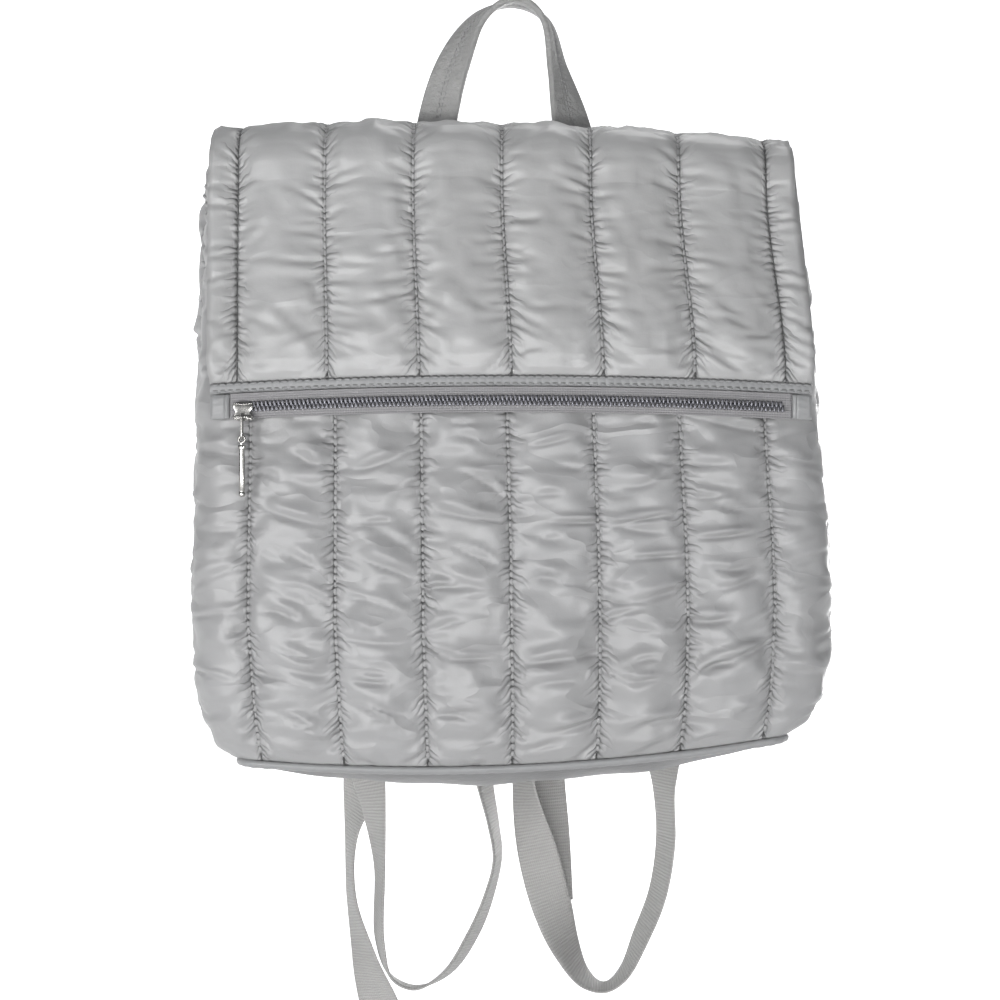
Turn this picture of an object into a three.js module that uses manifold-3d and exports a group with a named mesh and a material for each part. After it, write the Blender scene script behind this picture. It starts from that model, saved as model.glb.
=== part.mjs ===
// A quilted puffer backpack with a fold-over flap, hanging by its grab handle.
// Millimetres, +Z up. The front faces -Y. The origin is the top of the handle's loop, where a hook carries it.
// The bag is an open sack of padded cloth sewn into upright channels, on a sagging base with a piped seam.
// A quilted flap runs from the back seam over the mouth and ends in a stitched hem with an exposed zip.
// Two webbing shoulder straps hang in slack loops below the base.
import * as THREE from "three";
import { mergeVertices } from "three/addons/utils/BufferGeometryUtils.js";
import Module from "manifold-3d";

// The bag: heights are measured down from the hang point.
const BAG_X = -4;
const MOUTH_Z = -97;
const BASE_Z = -438;
const BASE_TILT = 7;
const BASE_ARCH = 10;
const BODY_HALF_WIDTH = 174;
const BODY_DEPTH = 100;
const BACK_Y = 5;
const SEAM_PITCH = 48;
const FRONT_CHANNELS = 6;
const SIDE_CHANNELS = 3;
const CORNER_RADIUS = 28;
const FRONT_CROWN = 9;
const BACK_CROWN = 1;

// The quilt: a seam pinches the two layers together, and the filling swells between seams.
const SEAM_HALF = 1.2;
const PUFF_OUT = 6.5;
const PUFF_IN = 2.4;
const STEPS_PER_CHANNEL = 4;
const GAP = 0.3;

// The flap.
const FLAP_HALF_WIDTH = 165;
const FLAP_PITCH = 50;
const FLAP_REST = 2.2;
const FLAP_SEAM_Z = -107;
const CREST_Z = -86;
const TOP_TILT = 4;
const TOP_ARCH = 5;
const HEM_ARCH = 4;
const FLAP_EDGE_CURL = 5;
const FLAP_TOP_LEAN = -5;
const FLAP_TOP_WIDTH = 0.977;
const SHOULDER_Z = -118;
const HEM_Z = -226;
const HEM_BAND_HEIGHT = 5.5;
const HEM_BAND_THICKNESS = 3;

// The zip.
const TAPE_WIDTH = 14;
const TAPE_THICKNESS = 1;
const CHAIN_END = 2.7;
const CHAIN_HEIGHT = 5.8;
const CHAIN_THICKNESS = 2.2;
const CHAIN_DROP = 7.6;
const TAB_LENGTH = 11;
const TAB_THICKNESS = 4.4;
const SLIDER_INSET = 5;
const SLIDER_LENGTH = 12;
const SLIDER_HEIGHT = 10.5;
const SLIDER_DROP = 2.5;
const SLIDER_THICKNESS = 1.6;
const BRIDGE_WIRE = 1.8;
const BRIDGE_RISE = 3.4;
const LINK_LENGTH = 15;
const LINK_WIDTH = 4.7;
const LINK_WIRE = 1.2;
const BAR_LENGTH = 28;
const BAR_WIDTH = 4;
const BAR_THICKNESS = 2.2;
const EYE_RADIUS = 2.4;
const EYE_HOLE = 1.1;
const EYE_THICKNESS = 1.3;
const NECK_LENGTH = 0.8;
const COLLAR_LENGTH = 2.4;
const BAR_TAPER = 0.8;
const LAP = 1;

// The base and its piping.
const BASE_THICKNESS = 2.5;
const BASE_SAG = 13;
const PIPING_RADIUS = 2.2;

// The handle and the straps.
const HANDLE_WIDTH = 24;
const HANDLE_THICKNESS = 4;
const WEBBING_WIDTH = 25;
const WEBBING_THICKNESS = 1.6;
const GLIDE_WIDTH = 33;
const GLIDE_HEIGHT = 30;
const GLIDE_THICKNESS = 2.4;
const GLIDE_RAIL = 3.4;
const GLIDE_LEFT = { offset: -88, z: -384, behind: 3.3 };
const GLIDE_RIGHT = { offset: 17, z: -380, behind: 4.3 };

// Rows of the sack from the base seam up. level is the share of the way to the mouth, width the share of the
// half width, seam the share of the outer seams' reach, depth the share of the depth, inset how far the back is
// drawn in as a share of the depth, fill the share of the padding, lean the sideways hang in mm.
const BODY_ROWS = [
  { level: 0, width: 0.87, seam: 0.955, depth: 0.88, inset: 0.06, fill: 0.06, lean: 1 },
  { level: 0.025, width: 0.93, seam: 0.965, depth: 0.92, inset: 0.03, fill: 0.7, lean: 1 },
  { level: 0.06, width: 0.975, seam: 0.975, depth: 0.97, inset: 0, fill: 0.95, lean: 1 },
  { level: 0.12, width: 0.995, seam: 0.985, depth: 1, inset: 0, fill: 1, lean: 1 },
  { level: 0.22, width: 1, seam: 1, depth: 1, inset: 0, fill: 1, lean: 0.5 },
  { level: 0.34, width: 0.995, seam: 0.995, depth: 0.99, inset: 0, fill: 1, lean: 0 },
  { level: 0.46, width: 0.985, seam: 0.985, depth: 0.96, inset: 0, fill: 1, lean: -1 },
  { level: 0.57, width: 0.98, seam: 0.98, depth: 0.91, inset: 0, fill: 1, lean: -2 },
  { level: 0.68, width: 0.975, seam: 0.975, depth: 0.85, inset: 0, fill: 1, lean: -3 },
  { level: 0.79, width: 0.97, seam: 0.97, depth: 0.78, inset: 0, fill: 1, lean: -4 },
  { level: 0.89, width: 0.965, seam: 0.965, depth: 0.72, inset: 0, fill: 0.9, lean: -5 },
  { level: 0.96, width: 0.96, seam: 0.96, depth: 0.68, inset: 0, fill: 0.6, lean: -6 },
  { level: 1, width: 0.96, seam: 0.96, depth: 0.66, inset: 0, fill: 0.1, lean: -6 },
];

// Rows of the flap's front from its shoulder to its hem: share of the way down, and share of the padding.
const FLAP_FRONT_ROWS = [
  { down: 0, fill: 1 },
  { down: 0.14, fill: 1 },
  { down: 0.32, fill: 1 },
  { down: 0.52, fill: 1 },
  { down: 0.72, fill: 1 },
  { down: 0.88, fill: 0.85 },
  { down: 0.96, fill: 0.5 },
  { down: 1, fill: 0.1 },
];
const CREST_STEPS = 6;

// Each strap's middle line from its sewn top to its lower anchor. x is measured from the bag's middle, behind
// is the distance from the back's outermost plane, and turn is the angle in degrees by which the webbing stands
// edge-on to the front. The ends are sewn flat against the back, and each strap bulges once over the middle bar
// of its adjuster.
const STRAP_LEFT_ROUTE = [
  { x: -18, behind: -0.6, z: -112, turn: 0 },
  { x: -18, behind: -0.4, z: -150, turn: 0 },
  { x: -19, behind: 4, z: -280, turn: 0 },
  { x: -18, behind: 7, z: -395, turn: 6 },
  { x: -16.5, behind: 9, z: -430, turn: 36 },
  { x: -15.5, behind: 9, z: -462, turn: 66 },
  { x: -10, behind: 8, z: -490, turn: 77 },
  { x: -7.5, behind: 8, z: -510, turn: 79 },
  { x: -12, behind: 8, z: -531, turn: 76 },
  { x: -22, behind: 8, z: -556, turn: 71 },
  { x: -38, behind: 8, z: -580, turn: 74 },
  { x: -57, behind: 7, z: -589, turn: 81 },
  { x: -72, behind: 6, z: -582, turn: 81 },
  { x: -78.5, behind: 3, z: -560, turn: 75 },
  { x: -78.5, behind: 0, z: -515, turn: 73 },
  { x: -82.5, behind: 0, z: -476, turn: 48 },
  { x: -87.5, behind: 3, z: -446, turn: 16 },
  { x: -88, behind: 1.5, z: -420, turn: 0 },
  { x: -88, behind: 1, z: -401, turn: 0 },
  { x: -88, behind: 1.1, z: -394.5, turn: 0 },
  { x: -88, behind: 6.3, z: -386.5, turn: 0 },
  { x: -88, behind: 6.5, z: -384, turn: 0 },
  { x: -88, behind: 6.3, z: -381.5, turn: 0 },
  { x: -88, behind: 1.1, z: -373.5, turn: 0 },
  { x: -88, behind: 1, z: -367, turn: 0 },
  { x: -88, behind: -0.7, z: -348, turn: 0 },
];
const STRAP_RIGHT_ROUTE = [
  { x: 18, behind: -0.6, z: -112, turn: 0 },
  { x: 18, behind: -0.4, z: -150, turn: 0 },
  { x: 18, behind: 3, z: -280, turn: 0 },
  { x: 17, behind: 1.9, z: -363, turn: 0 },
  { x: 17, behind: 1.8, z: -369.8, turn: 0 },
  { x: 17, behind: 7.7, z: -377.5, turn: 0 },
  { x: 17, behind: 7.9, z: -380, turn: 0 },
  { x: 17, behind: 7.7, z: -382.5, turn: 0 },
  { x: 17, behind: 1.8, z: -390.2, turn: 0 },
  { x: 16.8, behind: 1.9, z: -397, turn: 0 },
  { x: 11, behind: 5, z: -430, turn: -30 },
  { x: 8, behind: 6, z: -458, turn: -58 },
  { x: 10.5, behind: 6, z: -480, turn: -46 },
  { x: 17, behind: 5, z: -508, turn: -14 },
  { x: 25, behind: 6, z: -538, turn: 16 },
  { x: 34, behind: 7, z: -564, turn: 48 },
  { x: 45, behind: 8, z: -583, turn: 72 },
  { x: 57, behind: 8, z: -589, turn: 90 },
  { x: 68, behind: 7, z: -581, turn: 84 },
  { x: 79, behind: 6, z: -558, turn: 74 },
  { x: 89, behind: 5, z: -532, turn: 71 },
  { x: 94, behind: 5, z: -500, turn: 68 },
  { x: 93, behind: 6, z: -468, turn: 62 },
  { x: 92, behind: 4, z: -440, turn: 24 },
  { x: 92, behind: 1, z: -418, turn: 0 },
  { x: 92, behind: -1.3, z: -396, turn: 0 },
];
// The free tails hang from the adjusters, behind the straps.
const TAIL_LEFT_ROUTE = [
  { x: -88, behind: 8.6, z: -379, turn: 0 },
  { x: -88, behind: 8.6, z: -400, turn: 0 },
  { x: -88, behind: 13, z: -430, turn: 0 },
  { x: -90, behind: 19, z: -462, turn: -16 },
  { x: -97, behind: 23, z: -497, turn: -68 },
  { x: -97, behind: 20, z: -535, turn: -74 },
  { x: -89, behind: 17, z: -571, turn: -50 },
  { x: -80, behind: 26, z: -604, turn: -14 },
];
const TAIL_RIGHT_ROUTE = [
  { x: 17, behind: 10, z: -375, turn: 0 },
  { x: 17.5, behind: 10, z: -396, turn: 0 },
  { x: 19, behind: 12, z: -430, turn: 0 },
  { x: 21, behind: 16, z: -465, turn: 0 },
  { x: 24, behind: 15, z: -500, turn: 0 },
  { x: 26, behind: 16, z: -538, turn: 0 },
];
// The handle from its left sewn end over the hang point to its right sewn end. width is the share of the
// handle's width that is left where the cloth is creased.
const HANDLE_ROUTE = [
  { x: -47, behind: -2.2, z: -132, turn: 0, width: 1 },
  { x: -46.5, behind: -2.6, z: -100, turn: 0, width: 1 },
  { x: -44.5, behind: -1, z: -71, turn: 4, width: 1 },
  { x: -33.5, behind: -7, z: -32, turn: 28, width: 0.92 },
  { x: -17, behind: -13, z: -6, turn: 66, width: 0.85 },
  { x: 4, behind: -16, z: 2, turn: 90, width: 0.8 },
  { x: 20.5, behind: -13, z: -8, turn: 78, width: 0.85 },
  { x: 28.5, behind: -7, z: -36, turn: 60, width: 0.92 },
  { x: 38, behind: -1, z: -74, turn: 16, width: 1 },
  { x: 43, behind: -2.6, z: -102, turn: 0, width: 1 },
  { x: 44.5, behind: -2.2, z: -132, turn: 0, width: 1 },
];
const ROUTE_STEP = 11;

const rad = THREE.MathUtils.degToRad;
const wasm = await Module();
wasm.setup();

// Straight steps between the rows of a table, column by column.
function rowAt(rows, key, value) {
  let above = rows.findIndex((row) => row[key] >= value);
  if (above < 0) above = rows.length - 1;
  const high = rows[above];
  const low = rows[Math.max(0, above - 1)];
  const span = high[key] - low[key];
  const t = span > 0 ? THREE.MathUtils.clamp((value - low[key]) / span, 0, 1) : 0;
  const made = {};
  for (const column of Object.keys(high)) made[column] = THREE.MathUtils.lerp(low[column], high[column], t);
  return made;
}

// The swell of a quilted channel: 0 on its seams, 1 along its middle.
const swell = (share) => Math.pow(Math.max(0, Math.sin(Math.PI * (share - Math.floor(share)))), 0.7);

// A solid from closed sections with equal numbers of points. A ring joins its last section to its first, and
// any other run of sections is closed at both ends by strips across the section.
function skin(sections, ring = false) {
  const around = sections[0].length;
  const points = sections.flat();
  const index = [];
  const last = ring ? sections.length : sections.length - 1;
  for (let i = 0; i < last; i++) {
    const next = (i + 1) % sections.length;
    for (let j = 0; j < around; j++) {
      const k = (j + 1) % around;
      const [a, b, c, d] = [i * around + j, i * around + k, next * around + k, next * around + j];
      index.push(a, b, c, a, c, d);
    }
  }
  if (!ring) {
    for (let j = 0; j < around / 2 - 1; j++) {
      const [a, b, c, d] = [j, j + 1, around - 2 - j, around - 1 - j];
      const end = (sections.length - 1) * around;
      index.push(a, c, b, a, d, c);
      index.push(end + a, end + b, end + c, end + a, end + c, end + d);
    }
  }
  let volume = 0;
  for (let n = 0; n < index.length; n += 3) {
    const [a, b, c] = [points[index[n]], points[index[n + 1]], points[index[n + 2]]];
    volume += a.dot(b.clone().cross(c));
  }
  if (volume < 0) index.reverse();
  const geometry = new THREE.BufferGeometry().setFromPoints(points);
  geometry.setIndex(index);
  return geometry;
}

function toSolid(geometry) {
  const bare = geometry.clone();
  bare.deleteAttribute("normal");
  bare.deleteAttribute("uv");
  const merged = mergeVertices(bare, 1e-4);
  const vertProperties = new Float32Array(merged.attributes.position.array);
  return new wasm.Manifold(
    new wasm.Mesh({ numProp: 3, vertProperties, triVerts: new Uint32Array(merged.index.array) }),
  );
}

function fromSolid(solid) {
  const mesh = solid.getMesh();
  const geometry = new THREE.BufferGeometry();
  geometry.setAttribute("position", new THREE.BufferAttribute(new Float32Array(mesh.vertProperties), 3));
  geometry.setIndex(new THREE.BufferAttribute(new Uint32Array(mesh.triVerts), 1));
  return geometry;
}

const finishes = {
  quilt: { color: 0xb4b5b6, roughness: 0.38, metalness: 0 },
  trim: { color: 0xa5a5a6, roughness: 0.35, metalness: 0 },
  tape: { color: 0x9c9a9b, roughness: 0.7, metalness: 0 },
  webbing: { color: 0x9a9895, roughness: 0.8, metalness: 0 },
  gunmetal: { color: 0x4a4a4d, roughness: 0.3, metalness: 1 },
  silver: { color: 0xc9c7c4, roughness: 0.18, metalness: 1 },
};

const backpack = new THREE.Group();
function add(name, geometry, finish, parent = backpack) {
  const flat = geometry.index ? geometry.toNonIndexed() : geometry;
  flat.computeVertexNormals();
  const mesh = new THREE.Mesh(flat, new THREE.MeshStandardMaterial(finishes[finish]));
  mesh.name = name;
  parent.add(mesh);
  return mesh;
}

// The bag hangs a little askew, so its top and its base tip and arch from left to right.
const across = (x) => (x - BAG_X) / FLAP_HALF_WIDTH;
const askew = (z, x, tilt, arch) => z + tilt * across(x) + arch * across(x) ** 2;
const topAskew = (z, x) => askew(z, x, -TOP_TILT, -TOP_ARCH);
const baseZ = (x) => askew(BASE_Z, x, BASE_TILT, BASE_ARCH);

// The sack's seam surface at a level: its middle, half width, front and back.
function bodySizes(level) {
  const row = rowAt(BODY_ROWS, "level", level);
  const back = BACK_Y - BODY_DEPTH * row.inset;
  return {
    x: BAG_X + row.lean,
    half: BODY_HALF_WIDTH * row.width,
    seam: (FRONT_CHANNELS / 2) * SEAM_PITCH * row.seam,
    front: back - BODY_DEPTH * row.depth,
    back,
  };
}

const crown = (offset, seam) => Math.max(0, 1 - (offset / seam) ** 2);
const levelAt = (x, z) => THREE.MathUtils.clamp((z - baseZ(x)) / (topAskew(MOUTH_Z, x) - baseZ(x)), 0, 1);

function bodyFrontY(x, z) {
  const sizes = bodySizes(levelAt(x, z));
  return sizes.front - FRONT_CROWN * crown(x - sizes.x, sizes.seam);
}

// The plan of the seam surface at a level, anticlockwise from the front's left seam. Each point knows its share
// of the way across its channel and which way is out.
function bodyPlan(level) {
  const { x, half, seam, front, back } = bodySizes(level);
  const corner = Math.min(CORNER_RADIUS, (back - front) / 2 - 1, half - seam - 1);
  const side = new THREE.Path();
  side.moveTo(seam, front);
  side.lineTo(half - corner, front);
  side.absarc(half - corner, front + corner, corner, -Math.PI / 2, 0, false);
  side.lineTo(half, back - corner);
  side.absarc(half - corner, back - corner, corner, 0, Math.PI / 2, false);
  side.lineTo(seam, back);
  const plan = [];
  const frontSteps = FRONT_CHANNELS * STEPS_PER_CHANNEL;
  const sideSteps = SIDE_CHANNELS * STEPS_PER_CHANNEL;
  for (let i = 0; i < frontSteps; i++) {
    const offset = seam * ((2 * i) / frontSteps - 1);
    plan.push(new THREE.Vector2(offset, front - FRONT_CROWN * crown(offset, seam)));
  }
  for (let i = 0; i < sideSteps; i++) plan.push(side.getPointAt(i / sideSteps));
  for (let i = 0; i < frontSteps; i++) {
    const offset = seam * (1 - (2 * i) / frontSteps);
    plan.push(new THREE.Vector2(offset, back + BACK_CROWN * crown(offset, seam)));
  }
  for (let i = 0; i < sideSteps; i++) {
    const point = side.getPointAt(1 - i / sideSteps);
    plan.push(new THREE.Vector2(-point.x, point.y));
  }
  return plan.map((point, i) => {
    const before = plan.at(i - 1);
    const after = plan[(i + 1) % plan.length];
    const out = new THREE.Vector2(after.y - before.y, before.x - after.x).normalize();
    return { x: point.x + x, y: point.y, out, share: (i % STEPS_PER_CHANNEL) / STEPS_PER_CHANNEL };
  });
}

// The mouth slopes down from the front to the back seam, where the flap is sewn on.
function mouthZ(x, y) {
  const { front, back } = bodySizes(1);
  const toBack = THREE.MathUtils.smoothstep(y, front, back);
  return topAskew(THREE.MathUtils.lerp(MOUTH_Z, FLAP_SEAM_Z - SEAM_HALF - GAP, toBack), x);
}

function bodyGeometry() {
  const plans = BODY_ROWS.map((row) => bodyPlan(row.level));
  const offsetPoint = (row, i, way) => {
    const { x, y, out, share } = plans[row][i];
    const puff = SEAM_HALF + (way > 0 ? PUFF_OUT : PUFF_IN) * BODY_ROWS[row].fill * swell(share);
    const z = THREE.MathUtils.lerp(baseZ(x), mouthZ(x, y), BODY_ROWS[row].level);
    return new THREE.Vector3(x + out.x * puff * way, y + out.y * puff * way, z);
  };
  const sections = plans[0].map((_, i) => {
    const outer = BODY_ROWS.map((_, row) => offsetPoint(row, i, 1));
    const inner = BODY_ROWS.map((_, row) => offsetPoint(row, i, -1)).reverse();
    return [...outer, ...inner];
  });
  return skin(sections, true);
}
add("quilted_sack", bodyGeometry(), "quilt");

// The piping runs round the base seam, just under the sack's lower edge.
const seamPlan = bodyPlan(0);
const pipingZ = (x) => baseZ(x) - PIPING_RADIUS - GAP;
const PIPING_SIDES = 6;
function pipingGeometry() {
  const sections = seamPlan.map(({ x, y, out }) =>
    Array.from({ length: PIPING_SIDES }, (_, j) => {
      const angle = (2 * Math.PI * j) / PIPING_SIDES;
      const reach = PIPING_RADIUS * Math.cos(angle);
      return new THREE.Vector3(x + out.x * reach, y + out.y * reach, pipingZ(x) + PIPING_RADIUS * Math.sin(angle));
    }),
  );
  return skin(sections, true);
}
add("base_piping", pipingGeometry(), "trim");

// The base is a thin panel inside the piping that sags in its middle.
const BASE_RINGS = [1, 0.88, 0.65, 0.35];
const baseOutline = seamPlan.filter((_, i) => i % 2 === 0);
function baseGeometry() {
  const inset = PIPING_RADIUS + GAP;
  const middleY = (bodySizes(0).front + bodySizes(0).back) / 2;
  const middleX = bodySizes(0).x;
  const ringAt = (share, top) =>
    baseOutline.map(({ x, y, out }) => {
      const px = middleX + (x - out.x * inset - middleX) * share;
      const py = middleY + (y - out.y * inset - middleY) * share;
      const sag = BASE_SAG * (1 - share ** 2);
      return new THREE.Vector3(px, py, pipingZ(px) - sag + (top ? BASE_THICKNESS / 2 : -BASE_THICKNESS / 2));
    });
  const top = BASE_RINGS.map((share) => ringAt(share, true)).reverse();
  const bottom = BASE_RINGS.map((share) => ringAt(share, false));
  return skin([...top, ...bottom]);
}
add("base_panel", baseGeometry(), "trim");

// The flap's middle surface in one upright slice: up from the back seam, over the crest and down the front. Its
// top is a little narrower than its hem and leans to the left with the sack.
const flapAllow = SEAM_HALF + PUFF_OUT + FLAP_REST + PUFF_IN + SEAM_HALF;
const edgeCurl = (x) => FLAP_EDGE_CURL * Math.abs(across(x)) ** 8;
const hemZ = (x) => HEM_Z - HEM_ARCH * across(x) ** 2;
const flapFrontY = (x, z) => bodyFrontY(x, z) - flapAllow + edgeCurl(x);
function flapSlice(x) {
  const seamZ = topAskew(FLAP_SEAM_Z, x);
  const shoulderZ = topAskew(SHOULDER_Z, x);
  const crestZ = topAskew(CREST_Z, x);
  const backY = bodySizes(1).back + BACK_CROWN * crown(x - BAG_X, (FRONT_CHANNELS / 2) * SEAM_PITCH);
  const shoulderY = flapFrontY(x, shoulderZ);
  const middleY = (backY + shoulderY) / 2;
  const reach = (backY - shoulderY) / 2;
  const slice = [{ y: backY, z: seamZ, fill: 0.1 }];
  for (let i = 1; i < CREST_STEPS; i++) {
    const angle = (Math.PI * i) / CREST_STEPS;
    const foot = THREE.MathUtils.lerp(seamZ, shoulderZ, (1 - Math.cos(angle)) / 2);
    const rise = (crestZ - foot) * Math.sqrt(Math.sin(angle));
    slice.push({ y: middleY + reach * Math.cos(angle), z: foot + rise, fill: 1 });
  }
  for (const row of FLAP_FRONT_ROWS) {
    const z = THREE.MathUtils.lerp(shoulderZ, hemZ(x), row.down);
    slice.push({ y: flapFrontY(x, z), z, fill: row.fill });
  }
  return slice;
}

// Columns across the flap: six whole channels between two narrow end strips.
const END_STRIP_STEPS = 2;
function flapColumns() {
  const seamEdge = (FRONT_CHANNELS / 2) * FLAP_PITCH;
  const columns = [];
  for (let i = 0; i < END_STRIP_STEPS; i++) {
    const share = i / END_STRIP_STEPS;
    columns.push({ offset: THREE.MathUtils.lerp(-FLAP_HALF_WIDTH, -seamEdge, share), share: share / 2 + 0.5 });
  }
  for (let i = 0; i <= FRONT_CHANNELS * STEPS_PER_CHANNEL; i++) {
    columns.push({
      offset: -seamEdge + (i * FLAP_PITCH) / STEPS_PER_CHANNEL,
      share: (i % STEPS_PER_CHANNEL) / STEPS_PER_CHANNEL,
    });
  }
  for (let i = 1; i <= END_STRIP_STEPS; i++) {
    const share = i / END_STRIP_STEPS;
    columns.push({ offset: THREE.MathUtils.lerp(seamEdge, FLAP_HALF_WIDTH, share), share: share / 2 });
  }
  return columns;
}

function flapGeometry() {
  const sections = flapColumns().map(({ offset, share }) => {
    const x = BAG_X + offset;
    const slice = flapSlice(x);
    const topX = x + FLAP_TOP_LEAN + offset * (FLAP_TOP_WIDTH - 1);
    const side = (way) =>
      slice.map(({ y, z, fill }, j) => {
        const before = slice[Math.max(0, j - 1)];
        const after = slice[Math.min(slice.length - 1, j + 1)];
        const out = new THREE.Vector2(before.z - after.z, after.y - before.y).normalize();
        const puff = SEAM_HALF + (way > 0 ? PUFF_OUT : PUFF_IN) * fill * swell(share);
        const down = THREE.MathUtils.smoothstep(-z, -SHOULDER_Z, -HEM_Z);
        const px = THREE.MathUtils.lerp(topX, x, down);
        return new THREE.Vector3(px, y - out.x * puff * way, z - out.y * puff * way);
      });
    return [...side(1), ...side(-1).reverse()];
  });
  return skin(sections);
}
add("fold_over_flap", flapGeometry(), "quilt");

// A strip along the hem from one place across the bag to another. Its top is a given drop below the hem.
function hemStrip({ from, to, drop, height, front, thickness, steps }) {
  const sections = [];
  for (let i = 0; i <= steps; i++) {
    const x = BAG_X + THREE.MathUtils.lerp(from, to, i / steps);
    const bevel = Math.min(thickness, height) / 4;
    const y0 = flapFrontY(x, hemZ(x)) - front;
    const y1 = y0 + thickness;
    const z1 = hemZ(x) - drop;
    const z0 = z1 - height;
    const corners = [[y1, z0], [y1, z1], [y0 + bevel, z1], [y0, z1 - bevel], [y0, z0 + bevel], [y0 + bevel, z0]];
    sections.push(corners.map(([y, z]) => new THREE.Vector3(x, y, z)));
  }
  return skin(sections);
}

const bandDrop = 2 * GAP;
const tapeDrop = bandDrop + HEM_BAND_HEIGHT + GAP;
const tapeFront = TAPE_THICKNESS / 2;
const tapeHalf = FLAP_HALF_WIDTH - TAB_LENGTH - GAP;
const chainHalf = tapeHalf - CHAIN_END;
const chainFront = tapeFront + 1.5 * GAP + CHAIN_THICKNESS;
const hemBand = {
  from: -FLAP_HALF_WIDTH,
  to: FLAP_HALF_WIDTH,
  drop: bandDrop,
  height: HEM_BAND_HEIGHT,
  front: HEM_BAND_THICKNESS / 2,
  thickness: HEM_BAND_THICKNESS,
  steps: 24,
};
const tape = {
  from: -tapeHalf,
  to: tapeHalf,
  drop: tapeDrop,
  height: TAPE_WIDTH,
  front: tapeFront,
  thickness: TAPE_THICKNESS,
  steps: 24,
};
const chain = {
  from: -chainHalf,
  to: chainHalf,
  drop: tapeDrop + CHAIN_DROP - CHAIN_HEIGHT / 2,
  height: CHAIN_HEIGHT,
  front: chainFront,
  thickness: CHAIN_THICKNESS,
  steps: 24,
};
const tab = {
  from: tapeHalf + GAP,
  to: FLAP_HALF_WIDTH,
  drop: tapeDrop,
  height: TAPE_WIDTH,
  front: TAB_THICKNESS / 2,
  thickness: TAB_THICKNESS,
  steps: 4,
};
add("flap_hem_band", hemStrip(hemBand), "quilt");
add("zip_tape", hemStrip(tape), "tape");
add("zip_chain", hemStrip(chain), "gunmetal");
add("zip_tab_left", hemStrip({ ...tab, from: -tab.to, to: -tab.from }), "quilt");
add("zip_tab_right", hemStrip(tab), "quilt");

// The slider is a plate over the chain with a bridge. The bridge's bar runs from left to right near the plate's
// lower edge and carries the pull.
const sliderX = BAG_X - chainHalf + SLIDER_INSET;
const chainFaceAt = (x) => flapFrontY(x, hemZ(x)) - chainFront;
const sliderEnds = [sliderX - SLIDER_LENGTH / 2, sliderX + SLIDER_LENGTH / 2];
const sliderBack = Math.min(...sliderEnds.map(chainFaceAt)) - GAP;
const sliderFront = sliderBack - SLIDER_THICKNESS;
const sliderZ = hemZ(sliderX) - tapeDrop - CHAIN_DROP - SLIDER_DROP;
const bridgeHalf = SLIDER_LENGTH / 3;
const bridgeY = sliderFront - BRIDGE_RISE;
const bridgeZ = sliderZ - SLIDER_HEIGHT / 2 + 2;
const WIRE_SIDES = 12;

function box(x0, x1, y0, y1, z0, z1) {
  const geometry = new THREE.BoxGeometry(x1 - x0, y1 - y0, z1 - z0);
  return toSolid(geometry.translate((x0 + x1) / 2, (y0 + y1) / 2, (z0 + z1) / 2));
}

function sliderGeometry() {
  const outline = new THREE.Shape();
  const [w, h, cut] = [SLIDER_LENGTH / 2, SLIDER_HEIGHT / 2, SLIDER_HEIGHT / 4];
  outline.moveTo(-w, -h + cut);
  outline.lineTo(-w + cut, -h);
  outline.lineTo(w - cut, -h);
  outline.lineTo(w, -h + cut);
  outline.lineTo(w, h - cut);
  outline.lineTo(w - cut, h);
  outline.lineTo(-w + cut, h);
  outline.lineTo(-w, h - cut);
  const plate = new THREE.ExtrudeGeometry(outline, { depth: SLIDER_THICKNESS, bevelEnabled: false });
  plate.rotateX(Math.PI / 2).translate(sliderX, sliderBack, sliderZ);
  const bar = new THREE.CylinderGeometry(BRIDGE_WIRE / 2, BRIDGE_WIRE / 2, 2 * bridgeHalf, WIRE_SIDES);
  bar.rotateZ(Math.PI / 2).translate(sliderX, bridgeY, bridgeZ);
  const posts = [-1, 1].map((side) => {
    const middle = sliderX + side * bridgeHalf;
    const half = BRIDGE_WIRE / 2;
    return box(middle - half, middle + half, bridgeY - half, sliderFront + half, bridgeZ - half, bridgeZ + half);
  });
  return fromSolid(wasm.Manifold.union([toSolid(plate), toSolid(bar), ...posts]));
}
add("zip_slider", sliderGeometry(), "silver");

// The link is a long ring round the bridge's bar, in the plane from front to back.
class RingPath extends THREE.Curve {
  getPoint(t, target = new THREE.Vector3()) {
    const radius = (LINK_WIDTH - LINK_WIRE) / 2;
    const straight = LINK_LENGTH - LINK_WIDTH;
    const end = Math.PI * radius;
    const way = (t - Math.floor(t)) * 2 * (straight + end);
    const half = way % (straight + end);
    const flip = way < straight + end ? 1 : -1;
    const bend = Math.max(0, half - straight) / radius;
    const y = radius * Math.cos(bend);
    const z = half < straight ? straight / 2 - half : -straight / 2 - radius * Math.sin(bend);
    return target.set(0, y * flip, z * flip);
  }
}
const linkCentreZ = bridgeZ - (LINK_LENGTH - LINK_WIDTH) / 2;
const linkGeometry = new THREE.TubeGeometry(new RingPath(), 28, LINK_WIRE / 2, 6, true);
linkGeometry.translate(sliderX, bridgeY, linkCentreZ);
add("pull_link", fromSolid(toSolid(linkGeometry)), "silver");

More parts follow.
